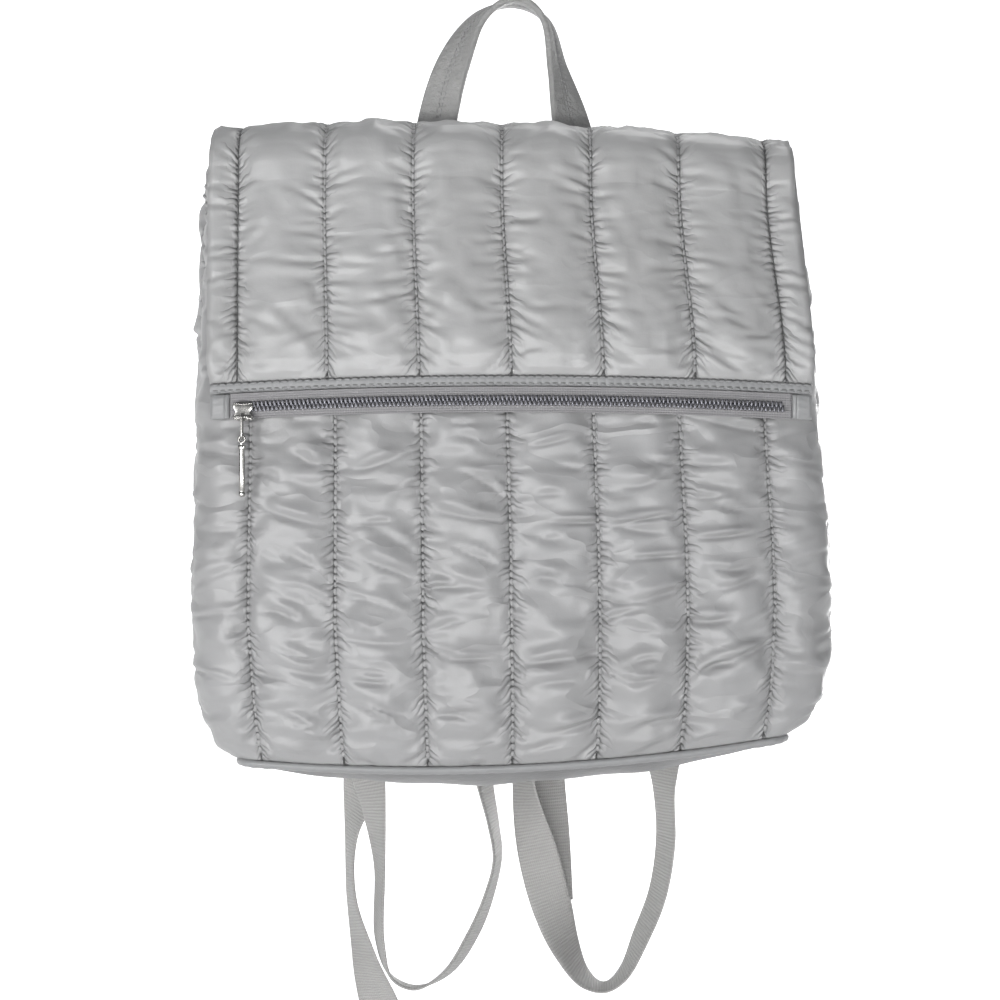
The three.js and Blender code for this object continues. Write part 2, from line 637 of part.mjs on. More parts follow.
// The pull bar hangs from the link's lower end by an eye and widens below its collar.
const eyeZ = linkCentreZ - (LINK_LENGTH - LINK_WIRE) / 2;
function pullBarGeometry() {
  const eye = new THREE.CylinderGeometry(EYE_RADIUS, EYE_RADIUS, EYE_THICKNESS, 24);
  const hole = new THREE.CylinderGeometry(EYE_HOLE, EYE_HOLE, EYE_THICKNESS + LAP, 24);
  const neckTop = eyeZ - (EYE_HOLE + EYE_RADIUS) / 2;
  const barTop = eyeZ - EYE_RADIUS - NECK_LENGTH;
  const [half, thin] = [BAR_WIDTH / 2, BAR_THICKNESS / 2];
  const [slim, slimmer] = [half * BAR_TAPER, thin * BAR_TAPER];
  const neck = EYE_THICKNESS / 2;
  const foot = barTop - BAR_LENGTH;
  return fromSolid(
    wasm.Manifold.union([
      toSolid(eye.translate(sliderX, bridgeY, eyeZ)).subtract(toSolid(hole.translate(sliderX, bridgeY, eyeZ))),
      box(sliderX - neck, sliderX + neck, bridgeY - neck, bridgeY + neck, barTop - LAP, neckTop),
      box(sliderX - half, sliderX + half, bridgeY - thin, bridgeY + thin, barTop - COLLAR_LENGTH, barTop),
      box(sliderX - slim, sliderX + slim, bridgeY - slimmer, bridgeY + slimmer, foot, barTop - LAP),
    ]),
  );
}
add("pull_bar", pullBarGeometry(), "silver");

// A flat strap along a route: its width turns about the route, and its thickness stays square to both. It is cut
// at every place of the route and at even steps between them.
const backPlane = BACK_Y + BACK_CROWN + SEAM_HALF + PUFF_OUT + GAP;
function ribbon(route, width, thickness, profile) {
  const middle = backPlane + thickness / 2;
  const points = route.map(({ x, behind, z }) => new THREE.Vector3(BAG_X + x, middle + behind, z));
  const line = new THREE.CatmullRomCurve3(points, false, "centripetal");
  const turns = new THREE.CatmullRomCurve3(
    route.map((row) => new THREE.Vector3(row.turn, row.width ?? 1, 0)),
    false,
    "catmullrom",
    0.5,
  );
  const depthways = new THREE.Vector3(0, 1, 0);
  const places = [0];
  for (let i = 1; i < points.length; i++) {
    const cuts = Math.max(2, Math.ceil(points[i].distanceTo(points[i - 1]) / ROUTE_STEP));
    for (let cut = 1; cut <= cuts; cut++) places.push((i - 1 + cut / cuts) / (points.length - 1));
  }
  const sections = places.map((t) => {
    const centre = line.getPoint(t);
    const along = line.getTangent(t);
    const side = along.clone().cross(depthways).normalize();
    const back = side.clone().cross(along);
    const { x: turn, y: share } = turns.getPoint(t);
    const wide = side.multiplyScalar(Math.cos(rad(turn))).addScaledVector(back, Math.sin(rad(turn)));
    const face = along.clone().cross(wide);
    return profile.map(([w, n]) => {
      const edge = centre.clone().addScaledVector(wide, (w * width * share) / 2);
      return edge.addScaledVector(face, (n * thickness) / 2);
    });
  });
  return skin(sections);
}
const FLAT_PROFILE = [[-1, -1], [1, -1], [1, 1], [-1, 1]];
const FOLDED_PROFILE = [[-1, -0.3], [-0.86, -1], [0.86, -1], [1, -0.3], [1, 0.3], [0.86, 1], [-0.86, 1], [-1, 0.3]];
const webbing = (route) => ribbon(route, WEBBING_WIDTH, WEBBING_THICKNESS, FLAT_PROFILE);
add("grab_handle", ribbon(HANDLE_ROUTE, HANDLE_WIDTH, HANDLE_THICKNESS, FOLDED_PROFILE), "trim");
add("shoulder_strap_left", webbing(STRAP_LEFT_ROUTE), "webbing");
add("shoulder_strap_right", webbing(STRAP_RIGHT_ROUTE), "webbing");
add("strap_tail_left", webbing(TAIL_LEFT_ROUTE), "webbing");
add("strap_tail_right", webbing(TAIL_RIGHT_ROUTE), "webbing");

// Each adjuster is a flat frame with a middle bar. The strap runs before its outer bars and behind the middle.
function glideGeometry({ offset, z, behind }) {
  const x = BAG_X + offset;
  const y0 = backPlane + behind;
  const y1 = y0 + GLIDE_THICKNESS;
  const [w, h] = [GLIDE_WIDTH / 2, GLIDE_HEIGHT / 2];
  const slot = w - GLIDE_RAIL;
  const windows = [-1, 1].map((side) => {
    const near = (side * GLIDE_RAIL) / 2;
    const far = side * (h - GLIDE_RAIL);
    return box(x - slot, x + slot, y0 - 1, y1 + 1, z + Math.min(near, far), z + Math.max(near, far));
  });
  return fromSolid(box(x - w, x + w, y0, y1, z - h, z + h).subtract(wasm.Manifold.union(windows)));
}
add("strap_glide_left", glideGeometry(GLIDE_LEFT), "gunmetal");
add("strap_glide_right", glideGeometry(GLIDE_RIGHT), "gunmetal");

export default backpack;
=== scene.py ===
# A quilted puffer backpack that hangs by its grab handle: satin cloth sewn in channels, a metal zip and
# webbing straps.
# Shapes are worked out in millimetres in the part's own frame and scaled to metres as they are made.
import math

import bmesh
import bpy
import numpy as np
from mathutils import Matrix, Vector


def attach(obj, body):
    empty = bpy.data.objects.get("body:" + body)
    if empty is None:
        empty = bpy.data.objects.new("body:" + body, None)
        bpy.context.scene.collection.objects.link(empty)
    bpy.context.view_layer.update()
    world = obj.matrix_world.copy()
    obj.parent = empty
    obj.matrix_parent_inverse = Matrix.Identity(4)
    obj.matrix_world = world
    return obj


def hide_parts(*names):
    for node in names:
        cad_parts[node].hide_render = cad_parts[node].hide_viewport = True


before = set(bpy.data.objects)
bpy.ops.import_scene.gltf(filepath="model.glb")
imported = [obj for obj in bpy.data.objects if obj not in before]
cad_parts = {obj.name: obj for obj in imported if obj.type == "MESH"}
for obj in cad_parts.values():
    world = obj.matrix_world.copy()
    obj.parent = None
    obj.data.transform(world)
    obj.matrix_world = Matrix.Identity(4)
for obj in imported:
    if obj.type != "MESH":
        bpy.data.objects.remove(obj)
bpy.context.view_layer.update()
MM = 0.001
chance = np.random.default_rng(7)

# The sack: heights are measured down from the hang point.
BAG_X = -4.0
MOUTH_Z = -97.0
BASE_Z = -438.0
BASE_TILT = 7.0
BASE_ARCH = 10.0
BODY_HALF_WIDTH = 174.0
BODY_DEPTH = 100.0
BACK_Y = 5.0
SEAM_PITCH = 48.0
FRONT_CHANNELS = 6
SIDE_CHANNELS = 3
CHANNELS = 2 * (FRONT_CHANNELS + SIDE_CHANNELS)
CORNER_RADIUS = 28.0
FRONT_CROWN = 9.0
BACK_CROWN = 1.0
SEAM_HALF = 1.2
PUFF_OUT = 6.5
PUFF_IN = 2.4

# The flap and its hem.
FLAP_HALF_WIDTH = 165.0
FLAP_PITCH = 50.0
FLAP_REST = 2.2
FLAP_SEAM_Z = -107.0
CREST_Z = -86.0
TOP_TILT = 4.0
TOP_ARCH = 5.0
HEM_ARCH = 4.0
FLAP_EDGE_CURL = 5.0
FLAP_TOP_LEAN = -5.0
FLAP_TOP_WIDTH = 0.977
SHOULDER_Z = -118.0
HEM_Z = -226.0
FLAP_ALLOW = SEAM_HALF + PUFF_OUT + FLAP_REST + PUFF_IN + SEAM_HALF

# Rows of the sack from the base seam up, as in the part: shares of its width, depth and padding.
BODY_ROWS = {
    "level": (0, 0.025, 0.06, 0.12, 0.22, 0.34, 0.46, 0.57, 0.68, 0.79, 0.89, 0.96, 1),
    "width": (0.87, 0.93, 0.975, 0.995, 1, 0.995, 0.985, 0.98, 0.975, 0.97, 0.965, 0.96, 0.96),
    "seam": (0.955, 0.965, 0.975, 0.985, 1, 0.995, 0.985, 0.98, 0.975, 0.97, 0.965, 0.96, 0.96),
    "depth": (0.88, 0.92, 0.97, 1, 1, 0.99, 0.96, 0.91, 0.85, 0.78, 0.72, 0.68, 0.66),
    "inset": (0.06, 0.03, 0, 0, 0, 0, 0, 0, 0, 0, 0, 0, 0),
    "fill": (0.06, 0.7, 0.95, 1, 1, 1, 1, 1, 1, 1, 0.9, 0.6, 0.1),
    "lean": (1, 1, 1, 1, 0.5, 0, -1, -2, -3, -4, -5, -6, -6),
}


def body_row(level):
    """The sack's seam surface at a level: its middle, half width, seam reach, front, back and padding."""
    row = {key: np.interp(level, BODY_ROWS["level"], BODY_ROWS[key]) for key in BODY_ROWS}
    back = BACK_Y - BODY_DEPTH * row["inset"]
    return {
        "x": BAG_X + row["lean"],
        "half": BODY_HALF_WIDTH * row["width"],
        "seam": FRONT_CHANNELS / 2 * SEAM_PITCH * row["seam"],
        "front": back - BODY_DEPTH * row["depth"],
        "back": back,
        "fill": row["fill"],
    }


def across(x):
    """How far across the flap x lies, from -1 to 1."""
    return (x - BAG_X) / FLAP_HALF_WIDTH


def top_askew(z, x):
    return z - TOP_TILT * across(x) - TOP_ARCH * across(x) ** 2


def base_z(x):
    return BASE_Z + BASE_TILT * across(x) + BASE_ARCH * across(x) ** 2


def crown(offset, seam):
    return np.maximum(0, 1 - (offset / seam) ** 2)


def smooth(value, low, high):
    share = np.clip((value - low) / (high - low), 0, 1)
    return share * share * (3 - 2 * share)


def swell(share):
    """The swell of a quilted channel: 0 on its seams, 1 along its middle."""
    return np.maximum(0, np.sin(np.pi * (share - np.floor(share)))) ** 0.7


def side_path(row, share):
    """A point of the sack's right side, from the front's last seam round both corners to the back's first."""
    corner = np.minimum(CORNER_RADIUS, (row["back"] - row["front"]) / 2 - 1)
    corner = np.minimum(corner, row["half"] - row["seam"] - 1)
    run = row["half"] - corner - row["seam"]
    bend = np.pi / 2 * corner
    straight = row["back"] - row["front"] - 2 * corner
    way = share * (2 * run + 2 * bend + straight)
    turn_in = np.clip((way - run) / corner, 0, np.pi / 2)
    up = np.clip(way - run - bend, 0, straight)
    turn_out = np.clip((way - run - bend - straight) / corner, 0, np.pi / 2)
    home = np.clip(way - run - 2 * bend - straight, 0, run)
    x = row["seam"] + np.clip(way, 0, run) + corner * np.sin(turn_in) - corner * (1 - np.cos(turn_out)) - home
    y = row["front"] + corner * (1 - np.cos(turn_in)) + up + corner * np.sin(turn_out)
    return x, y


def sack_seam_surface(level, around):
    """Points of the surface that the sack's seams lie in. around counts channels from the front's left."""
    row = body_row(level)
    around = np.mod(around, CHANNELS)
    lap = FRONT_CHANNELS + SIDE_CHANNELS
    on_face = np.mod(around, lap) < FRONT_CHANNELS
    behind = around >= lap
    share = np.where(on_face, np.mod(around, lap) / FRONT_CHANNELS, 0)
    offset = row["seam"] * (2 * share - 1) * np.where(behind, -1, 1)
    bulge = crown(offset, row["seam"])
    face_y = np.where(behind, row["back"] + BACK_CROWN * bulge, row["front"] - FRONT_CROWN * bulge)
    side = np.clip((np.mod(around, lap) - FRONT_CHANNELS) / SIDE_CHANNELS, 0, 1)
    side_x, side_y = side_path(row, np.where(behind, 1 - side, side))
    x = row["x"] + np.where(on_face, offset, np.where(behind, -side_x, side_x))
    y = np.where(on_face, face_y, side_y)
    rim = body_row(1.0)
    to_back = smooth(y, rim["front"], rim["back"])
    mouth = top_askew(MOUTH_Z + (FLAP_SEAM_Z - SEAM_HALF - 0.3 - MOUTH_Z) * to_back, x)
    return np.stack([x, y, base_z(x) + (mouth - base_z(x)) * level], -1)


def sack_level(x, z):
    return np.clip((z - base_z(x)) / (top_askew(MOUTH_Z, x) - base_z(x)), 0, 1)


def body_front_y(x, z):
    row = body_row(sack_level(x, z))
    return row["front"] - FRONT_CROWN * crown(x - row["x"], row["seam"])


def hem_z(x):
    return HEM_Z - HEM_ARCH * across(x) ** 2


def flap_front_y(x, z):
    return body_front_y(x, z) - FLAP_ALLOW + FLAP_EDGE_CURL * np.abs(across(x)) ** 8


CREST_POINTS = 25
FRONT_POINTS = 40


def flap_seam_surface(offsets, ways):
    """Points of the surface that the flap's seams lie in: ways run from the back seam to the hem."""
    made = np.zeros((len(ways), len(offsets), 3))
    for column, offset in enumerate(offsets):
        x = BAG_X + offset
        seam_z, shoulder_z, crest_z = (top_askew(z, x) for z in (FLAP_SEAM_Z, SHOULDER_Z, CREST_Z))
        back_y = body_row(1.0)["back"] + BACK_CROWN * crown(offset, FRONT_CHANNELS / 2 * SEAM_PITCH)
        shoulder_y = flap_front_y(x, shoulder_z)
        angle = np.linspace(0, np.pi, CREST_POINTS)
        foot = seam_z + (shoulder_z - seam_z) * (1 - np.cos(angle)) / 2
        crest = (back_y + shoulder_y) / 2 + (back_y - shoulder_y) / 2 * np.cos(angle)
        rise = foot + (crest_z - foot) * np.sqrt(np.maximum(0, np.sin(angle)))
        drop = np.linspace(shoulder_z, hem_z(x), FRONT_POINTS)[1:]
        y = np.concatenate([crest, flap_front_y(x, drop)])
        z = np.concatenate([rise, drop])
        run = np.concatenate([[0], np.cumsum(np.hypot(np.diff(y), np.diff(z)))])
        place = np.array(ways) * run[-1]
        y, z = np.interp(place, run, y), np.interp(place, run, z)
        down = smooth(-z, -SHOULDER_Z, -HEM_Z)
        top_x = x + FLAP_TOP_LEAN + offset * (FLAP_TOP_WIDTH - 1)
        made[:, column] = np.stack([top_x + (x - top_x) * down, y, z], -1)
    return made


def outward(points, ring):
    """Unit normals of a grid of points [row, column], to the left of its rows as they run up."""
    if ring:
        side = np.roll(points, -1, 1) - np.roll(points, 1, 1)
    else:
        side = np.gradient(points, axis=1)
    rise = np.gradient(points, axis=0)
    normal = np.cross(side, rise)
    return normal / np.maximum(np.linalg.norm(normal, axis=-1, keepdims=True), 1e-9)


def add_object(name, data):
    """A new object in the scene, from its mesh, light or camera."""
    obj = bpy.data.objects.new(name, data)
    bpy.context.scene.collection.objects.link(obj)
    return obj


def mesh_from(bm, name):
    """A new mesh from a bmesh, which is freed."""
    mesh = bpy.data.meshes.new(name)
    bm.to_mesh(mesh)
    bm.free()
    return mesh


def read_vectors(items, key):
    """The vectors of a mesh's vertices or of an attribute, one row for each."""
    flat = np.zeros(len(items) * 3)
    items.foreach_get(key, flat)
    return flat.reshape(-1, 3)


def smooth_faces(obj, angle=None):
    """Shades an object smoothly, up to an angle in degrees where one is given."""
    for face in obj.data.polygons:
        face.use_smooth = True
    if angle is not None:
        obj.data.set_sharp_from_angle(angle=math.radians(angle))
    return obj


def cloth_grid(name, points, ring=False, closed=False):
    """A mesh on a grid of points [row, column]. ring joins its last column to its first, closed its rows."""
    rows, columns = points.shape[:2]
    across_faces = columns if ring else columns - 1
    up_faces = rows if closed else rows - 1
    bm = bmesh.new()
    bmesh.ops.create_grid(bm, x_segments=across_faces, y_segments=up_faces, size=0.5)
    mesh = mesh_from(bm, name)
    flat = read_vectors(mesh.vertices, "co")
    column = np.rint((flat[:, 0] + 0.5) * across_faces).astype(int) % columns
    row = np.rint((flat[:, 1] + 0.5) * up_faces).astype(int) % rows
    mesh.vertices.foreach_set("co", (points[row, column] * MM).ravel())
    grid_place = mesh.attributes.new("grid_place", "FLOAT_VECTOR", "POINT")
    grid_place.data.foreach_set("vector", np.stack([column, row, row * 0], -1).astype(np.float32).ravel())
    if ring or closed:
        bm = bmesh.new()
        bm.from_mesh(mesh)
        bmesh.ops.remove_doubles(bm, verts=bm.verts, dist=1e-7)
        bm.to_mesh(mesh)
        bm.free()
    mesh.update()
    return add_object(name, mesh)


def grid_rows_columns(obj):
    """The row and column of the grid that each vertex came from."""
    flat = read_vectors(obj.data.attributes["grid_place"].data, "vector")
    return flat[:, 1].astype(int), flat[:, 0].astype(int)


PADDING_FRAMES = 16
PADDING_CLOTH = {
    "quality": 5, "mass": 0.2, "air_damping": 3, "tension_stiffness": 12, "compression_stiffness": 12,
    "shear_stiffness": 4, "bending_stiffness": 0.15, "vertex_group_mass": "seams", "use_pressure": True,
}


def inflate(points, pinned, ring, pressure, spare):
    """The points of a grid of cloth, pinned along its seams, after it swells with a share of spare cloth."""
    obj = cloth_grid("padding_trial", points, ring)
    row, column = grid_rows_columns(obj)
    group = obj.vertex_groups.new(name="seams")
    held = np.flatnonzero(pinned[row, column])
    group.add([int(v) for v in held], 1.0, "REPLACE")
    cloth = obj.modifiers.new("cloth", "CLOTH")
    for key, value in PADDING_CLOTH.items():
        setattr(cloth.settings, key, value)
    cloth.settings.uniform_pressure_force = pressure
    cloth.settings.shrink_min = -spare
    cloth.settings.effector_weights.gravity = 0
    cloth.collision_settings.use_collision = False
    cloth.point_cache.frame_start = 1
    cloth.point_cache.frame_end = PADDING_FRAMES
    scene = bpy.context.scene
    for step in range(1, PADDING_FRAMES + 1):
        scene.frame_set(step)
    settled = obj.evaluated_get(bpy.context.evaluated_depsgraph_get()).to_mesh()
    made = points.copy()
    made[row, column] = read_vectors(settled.vertices, "co") / MM
    bpy.data.objects.remove(obj)
    scene.frame_set(1)
    return made


def read_smoothly(table, places, wrap):
    """The rows of a table read smoothly between its rows, at places counted in rows."""
    count = table.shape[0]
    low = np.floor(places).astype(int)
    part = (places - low)[:, None]
    near = [low + step for step in (-1, 0, 1, 2)]
    a, b, c, d = [table[at % count] if wrap else table[np.clip(at, 0, count - 1)] for at in near]
    bend = (2 * a - 5 * b + 4 * c - d + (3 * b - a - 3 * c + d) * part) * part
    return b + 0.5 * part * (c - a + bend)


def stretch(values, rows_at, columns_at, ring):
    """A coarse grid of numbers read smoothly at finer rows and columns, counted in its own steps."""
    return read_smoothly(read_smoothly(values, rows_at, False).T, columns_at, ring).T


def seam_puckers(length, depth, reach, pitch, top_angle, low_angle, crowding):
    """Creases that run out from one side of a seam. Rows of place along it, slope, reach, depth and width."""
    count = int(length / pitch)
    place = (np.arange(count) + 0.5) * length / count + chance.normal(0, 0.7, count)
    share = place / length
    angle = np.clip(low_angle + (top_angle - low_angle) * share + chance.normal(0, 11, count), -62, 62)
    crowd = 1 + crowding * (np.exp(-share / 0.09) + np.exp(-(1 - share) / 0.12))
    far = reach * (0.35 + chance.gamma(1.6, 0.55, count)) * crowd
    deep = depth * (0.35 + 0.75 * chance.random(count)) * np.minimum(crowd, 1.7)
    wide = 0.95 + 0.5 * chance.random(count)
    return np.stack([place, np.tan(np.radians(angle)), np.clip(far, 2, 34), deep, wide], -1)


def press_puckers(relief, reach_in, along, puckers):
    """Presses creases into a channel's relief. reach_in is the distance from the seam in mm."""
    for place, slope, far, deep, wide in puckers:
        window = np.abs(along[:, 0] - place) < abs(slope) * far + 9
        near = reach_in[0] < far
        if not window.any() or not near.any():
            continue
        cell = np.ix_(window, near)
        out = reach_in[cell]
        bow = slope * out * (1 - 0.25 * out / far)
        apart = (along[cell] - place - bow) / (wide * (1 + 0.03 * out))
        fade = (1 - out / far) ** 0.8
        valley = -np.exp(-0.5 * apart ** 2)
        ridge = 0.42 * np.exp(-0.5 * ((apart - 2.1) / 1.3) ** 2)
        relief[cell] += deep * fade * (valley + ridge)


def press_folds(relief, beside, along, folds):
    """Presses long creases into a channel's relief: a sharp valley each, with a soft ridge above it."""
    for middle, place, half, angle, wide, deep, bow in folds:
        window = np.abs(along[:, 0] - place) < half + 8
        if not window.any():
            continue
        right, up = beside[window] - middle, along[window] - place
        run = (right * math.cos(angle) + up * math.sin(angle)) / half
        apart = up * math.cos(angle) - right * math.sin(angle) - bow * (1 - run ** 2)
        fade = np.maximum(0, 1 - run ** 2) ** 1.2
        valley = np.exp(-0.5 * (apart / wide) ** 2)
        ridge = np.exp(-0.5 * ((apart - 2.6 * wide) / (1.7 * wide)) ** 2)
        relief[window] += deep * fade * (0.75 * ridge - valley)


def long_folds(count, width, length, depth, low, high, angle, spread):
    """Long creases over a channel. Rows of middle, place, half length, angle, width, depth and bow."""
    place = length * (low + (high - low) * (np.arange(count) + chance.random(count)) / count)
    return np.stack([
        width * (0.5 + 0.2 * chance.normal(0, 1, count)), place, 6 + 15 * chance.random(count) ** 1.4,
        np.radians(chance.normal(angle, spread, count)), 0.9 + 0.9 * chance.random(count),
        depth * (0.35 + chance.random(count)), chance.normal(0, 2.2, count),
    ], -1)


def crease_channel(relief, beside, along, sides, puckers, folds):
    """Presses the puckers of a channel's seams and then its long folds into its relief. sides holds the
    distance from each of its seams."""
    for reach_in in sides:
        press_puckers(relief, reach_in, along, seam_puckers(*puckers))
    for fold in folds:
        press_folds(relief, beside, along, long_folds(*fold))


def eased_columns(count):
    """Shares of the way across a channel, closer together beside its seams."""
    share = np.arange(count) / count
    return share - 0.62 * np.sin(2 * np.pi * share) / (2 * np.pi)


TRIAL_PER_CHANNEL = 9
TRIAL_ROWS = 66
SACK_PER_CHANNEL = 20
SACK_ROWS = 330
LINING_ROWS = 22
EDGE_ROUND = 1.1
SACK_HEIGHT = MOUTH_Z - BASE_Z
SACK_PUCKERS = (SACK_HEIGHT, 1.7, 6.5, 5.2, 12, -48, 0.9)
CREASE_PITCH = 3.9


def padding_swell(seam, out, puff, pinned, ring, pressure, spare):
    """How far the inflated cloth of a quilted grid lies from its drawn puff, along its normals."""
    rough = stretch(chance.normal(0, 1, (22, 60)), np.linspace(0, 20.9, seam.shape[0]),
                    np.linspace(0, 60, seam.shape[1], endpoint=False), True)
    drawn = seam + out * (puff * (0.8 + 0.16 * rough))[..., None]
    moved = inflate(drawn, pinned, ring, pressure, spare)
    return ((moved - seam) * out).sum(-1) - puff


def make_sack():
    """The padded sack as one closed shell: its outside, the mouth's edge and its lining."""
    trial_levels = np.linspace(0, 1, TRIAL_ROWS)
    trial_around = np.arange(CHANNELS * TRIAL_PER_CHANNEL) / TRIAL_PER_CHANNEL
    level, around = np.meshgrid(trial_levels, trial_around, indexing="ij")
    seam = sack_seam_surface(level, around)
    puff = SEAM_HALF + PUFF_OUT * body_row(level)["fill"] * swell(around)
    pinned = np.zeros(level.shape, bool)
    pinned[:, ::TRIAL_PER_CHANNEL] = True
    pinned[0] = pinned[-1] = True
    lift = padding_swell(seam, outward(seam, True), puff, pinned, True, 1.2, 0.035)
    lift = np.clip(lift, -3.0, 2.4) * 0.6

    levels = np.linspace(0, 1, SACK_ROWS)
    share = eased_columns(SACK_PER_CHANNEL)
    around = (np.arange(CHANNELS)[:, None] + share).ravel()
    level, around = np.meshgrid(levels, around, indexing="ij")
    seam = sack_seam_surface(level, around)
    out = outward(seam, True)
    fill = body_row(level)["fill"]
    fine = stretch(lift, levels * (TRIAL_ROWS - 1), around[0] * TRIAL_PER_CHANNEL, True)
    relief = np.zeros(level.shape)
    height = SACK_HEIGHT * level
    beside = np.broadcast_to(share * SEAM_PITCH, (SACK_ROWS, SACK_PER_CHANNEL))
    for channel in range(CHANNELS):
        cut = slice(channel * SACK_PER_CHANNEL, (channel + 1) * SACK_PER_CHANNEL)
        tilt = -17 if channel < FRONT_CHANNELS / 2 else 4
        on_side = channel % (FRONT_CHANNELS + SIDE_CHANNELS) >= FRONT_CHANNELS
        folds = (24, SEAM_PITCH, SACK_HEIGHT, 1.3 if on_side else 2.9, 0, 1, tilt, 15)
        sides = (beside, SEAM_PITCH - beside)
        crease_channel(relief[:, cut], beside, height[:, cut], sides, SACK_PUCKERS, [folds])
    beside_seam = np.minimum(around % 1, 1 - around % 1)
    relief = np.clip(relief, -3.2, 2.2) * np.minimum(1, 12 * fill * beside_seam + 0.15)
    puff = SEAM_HALF + PUFF_OUT * fill * swell(around) + fine + relief
    outside = seam + out * np.maximum(puff, 0.4)[..., None]

    lining_levels = np.linspace(1, 0, LINING_ROWS)
    level_in, around_in = np.meshgrid(lining_levels, around[0], indexing="ij")
    seam_in = sack_seam_surface(level_in, around_in)
    out_in = outward(seam_in[::-1], True)[::-1]
    puff_in = SEAM_HALF + PUFF_IN * body_row(level_in)["fill"] * swell(around_in)
    lining = seam_in - out_in * puff_in[..., None]
    rim = (outside[-1] + lining[0]) / 2 + [0, 0, EDGE_ROUND]
    sole = (outside[0] + lining[-1]) / 2
    obj = cloth_grid("quilted_sack_cloth", np.concatenate([outside, [rim], lining, [sole]]), True, True)
    row, column = grid_rows_columns(obj)
    side = around[0][column] % 1
    near = np.minimum(side, 1 - side) * SEAM_PITCH
    up = np.clip(row / SACK_ROWS, 0, 1)
    slope = np.tan(np.radians(-45 + 60 * up))
    mark_seams(obj, near, up * SACK_HEIGHT, slope, np.rint(around[0][column]) * 2 + (side > 0.5))
    lay_pattern(obj, around[0][column] * SEAM_PITCH, row * SACK_HEIGHT / SACK_ROWS)
    return obj, outside


def mark_seams(obj, near, along, slope, seam_index):
    """Stores what the cloth's finish needs for its fine creases and for the painted shade beside its seams:
    the distance from the nearest seam in mm, and a count of creases along it, sheared so that they run out
    from the seam at their slope."""
    count = (along - slope * near) / CREASE_PITCH + seam_index * 400
    for name, values in (("seam_distance", near), ("crease_count", count)):
        mark = obj.data.attributes.new(name, "FLOAT", "POINT")
        mark.data.foreach_set("value", values.astype(np.float32))


def lay_pattern(obj, right, up):
    """A UV map in metres of cloth, for weaves that follow the surface."""
    layer = obj.data.uv_layers.new(name="cloth")
    corners = np.zeros(len(obj.data.loops), np.int32)
    obj.data.loops.foreach_get("vertex_index", corners)
    flat = np.stack([right[corners], up[corners]], -1) * MM
    layer.data.foreach_set("uv", flat.astype(np.float32).ravel())


FLAP_PER_CHANNEL = 22
FLAP_ROWS = 250
FLAP_LINING_ROWS = 40
FLAP_TRIAL_ROWS = 50
FLAP_LENGTH = 236.0
FLAP_PUCKERS = (FLAP_LENGTH, 1.7, 10, 4.3, 55, -101, 0.8)
FLAP_FOLDS = (
    (4, FLAP_PITCH, FLAP_LENGTH, 1.1, 0.8, 0.99, 38, 30),
    (5, FLAP_PITCH, FLAP_LENGTH, 0.5, 0.1, 0.8, 0, 25),
)


def flap_offsets(per_channel):
    """Places across the flap: a narrow end strip, six channels and the other strip. Also each place's share
    of the way across its channel, and the columns of a strip."""
    edge = FRONT_CHANNELS / 2 * FLAP_PITCH
    strip = max(4, per_channel // 3)
    fine = per_channel > TRIAL_PER_CHANNEL
    even = eased_columns(per_channel) if fine else np.arange(per_channel) / per_channel
    inner = -edge + (np.arange(FRONT_CHANNELS)[:, None] + even).ravel() * FLAP_PITCH
    reach = np.linspace(0, 1, strip + 1) ** (1.8 if fine else 1.0)
    right = edge + reach * (FLAP_HALF_WIDTH - edge)
    left = -right[:0:-1]
    shares = np.concatenate([1 - reach[:0:-1] / 2, np.tile(even, FRONT_CHANNELS), reach / 2])
    return np.concatenate([left, inner, right]), shares, strip


def flap_swell(ways, shares):
    """The flap's swell: flatter panels than the sack's, and over the crest only shallow notches."""
    pillow = swell(shares)[None] ** 0.8
    crest = (smooth(ways, 0.04, 0.14) * (1 - smooth(ways, 0.34, 0.46)))[:, None]
    return pillow * (1 - crest) + crest * (0.5 + 0.42 * swell(shares)[None] ** 0.6)


def flap_fill(ways):
    return np.interp(ways, (0, 0.02, 0.06, 0.9, 0.955, 0.985, 1), (0.1, 0.6, 1, 1, 0.8, 0.45, 0.1))


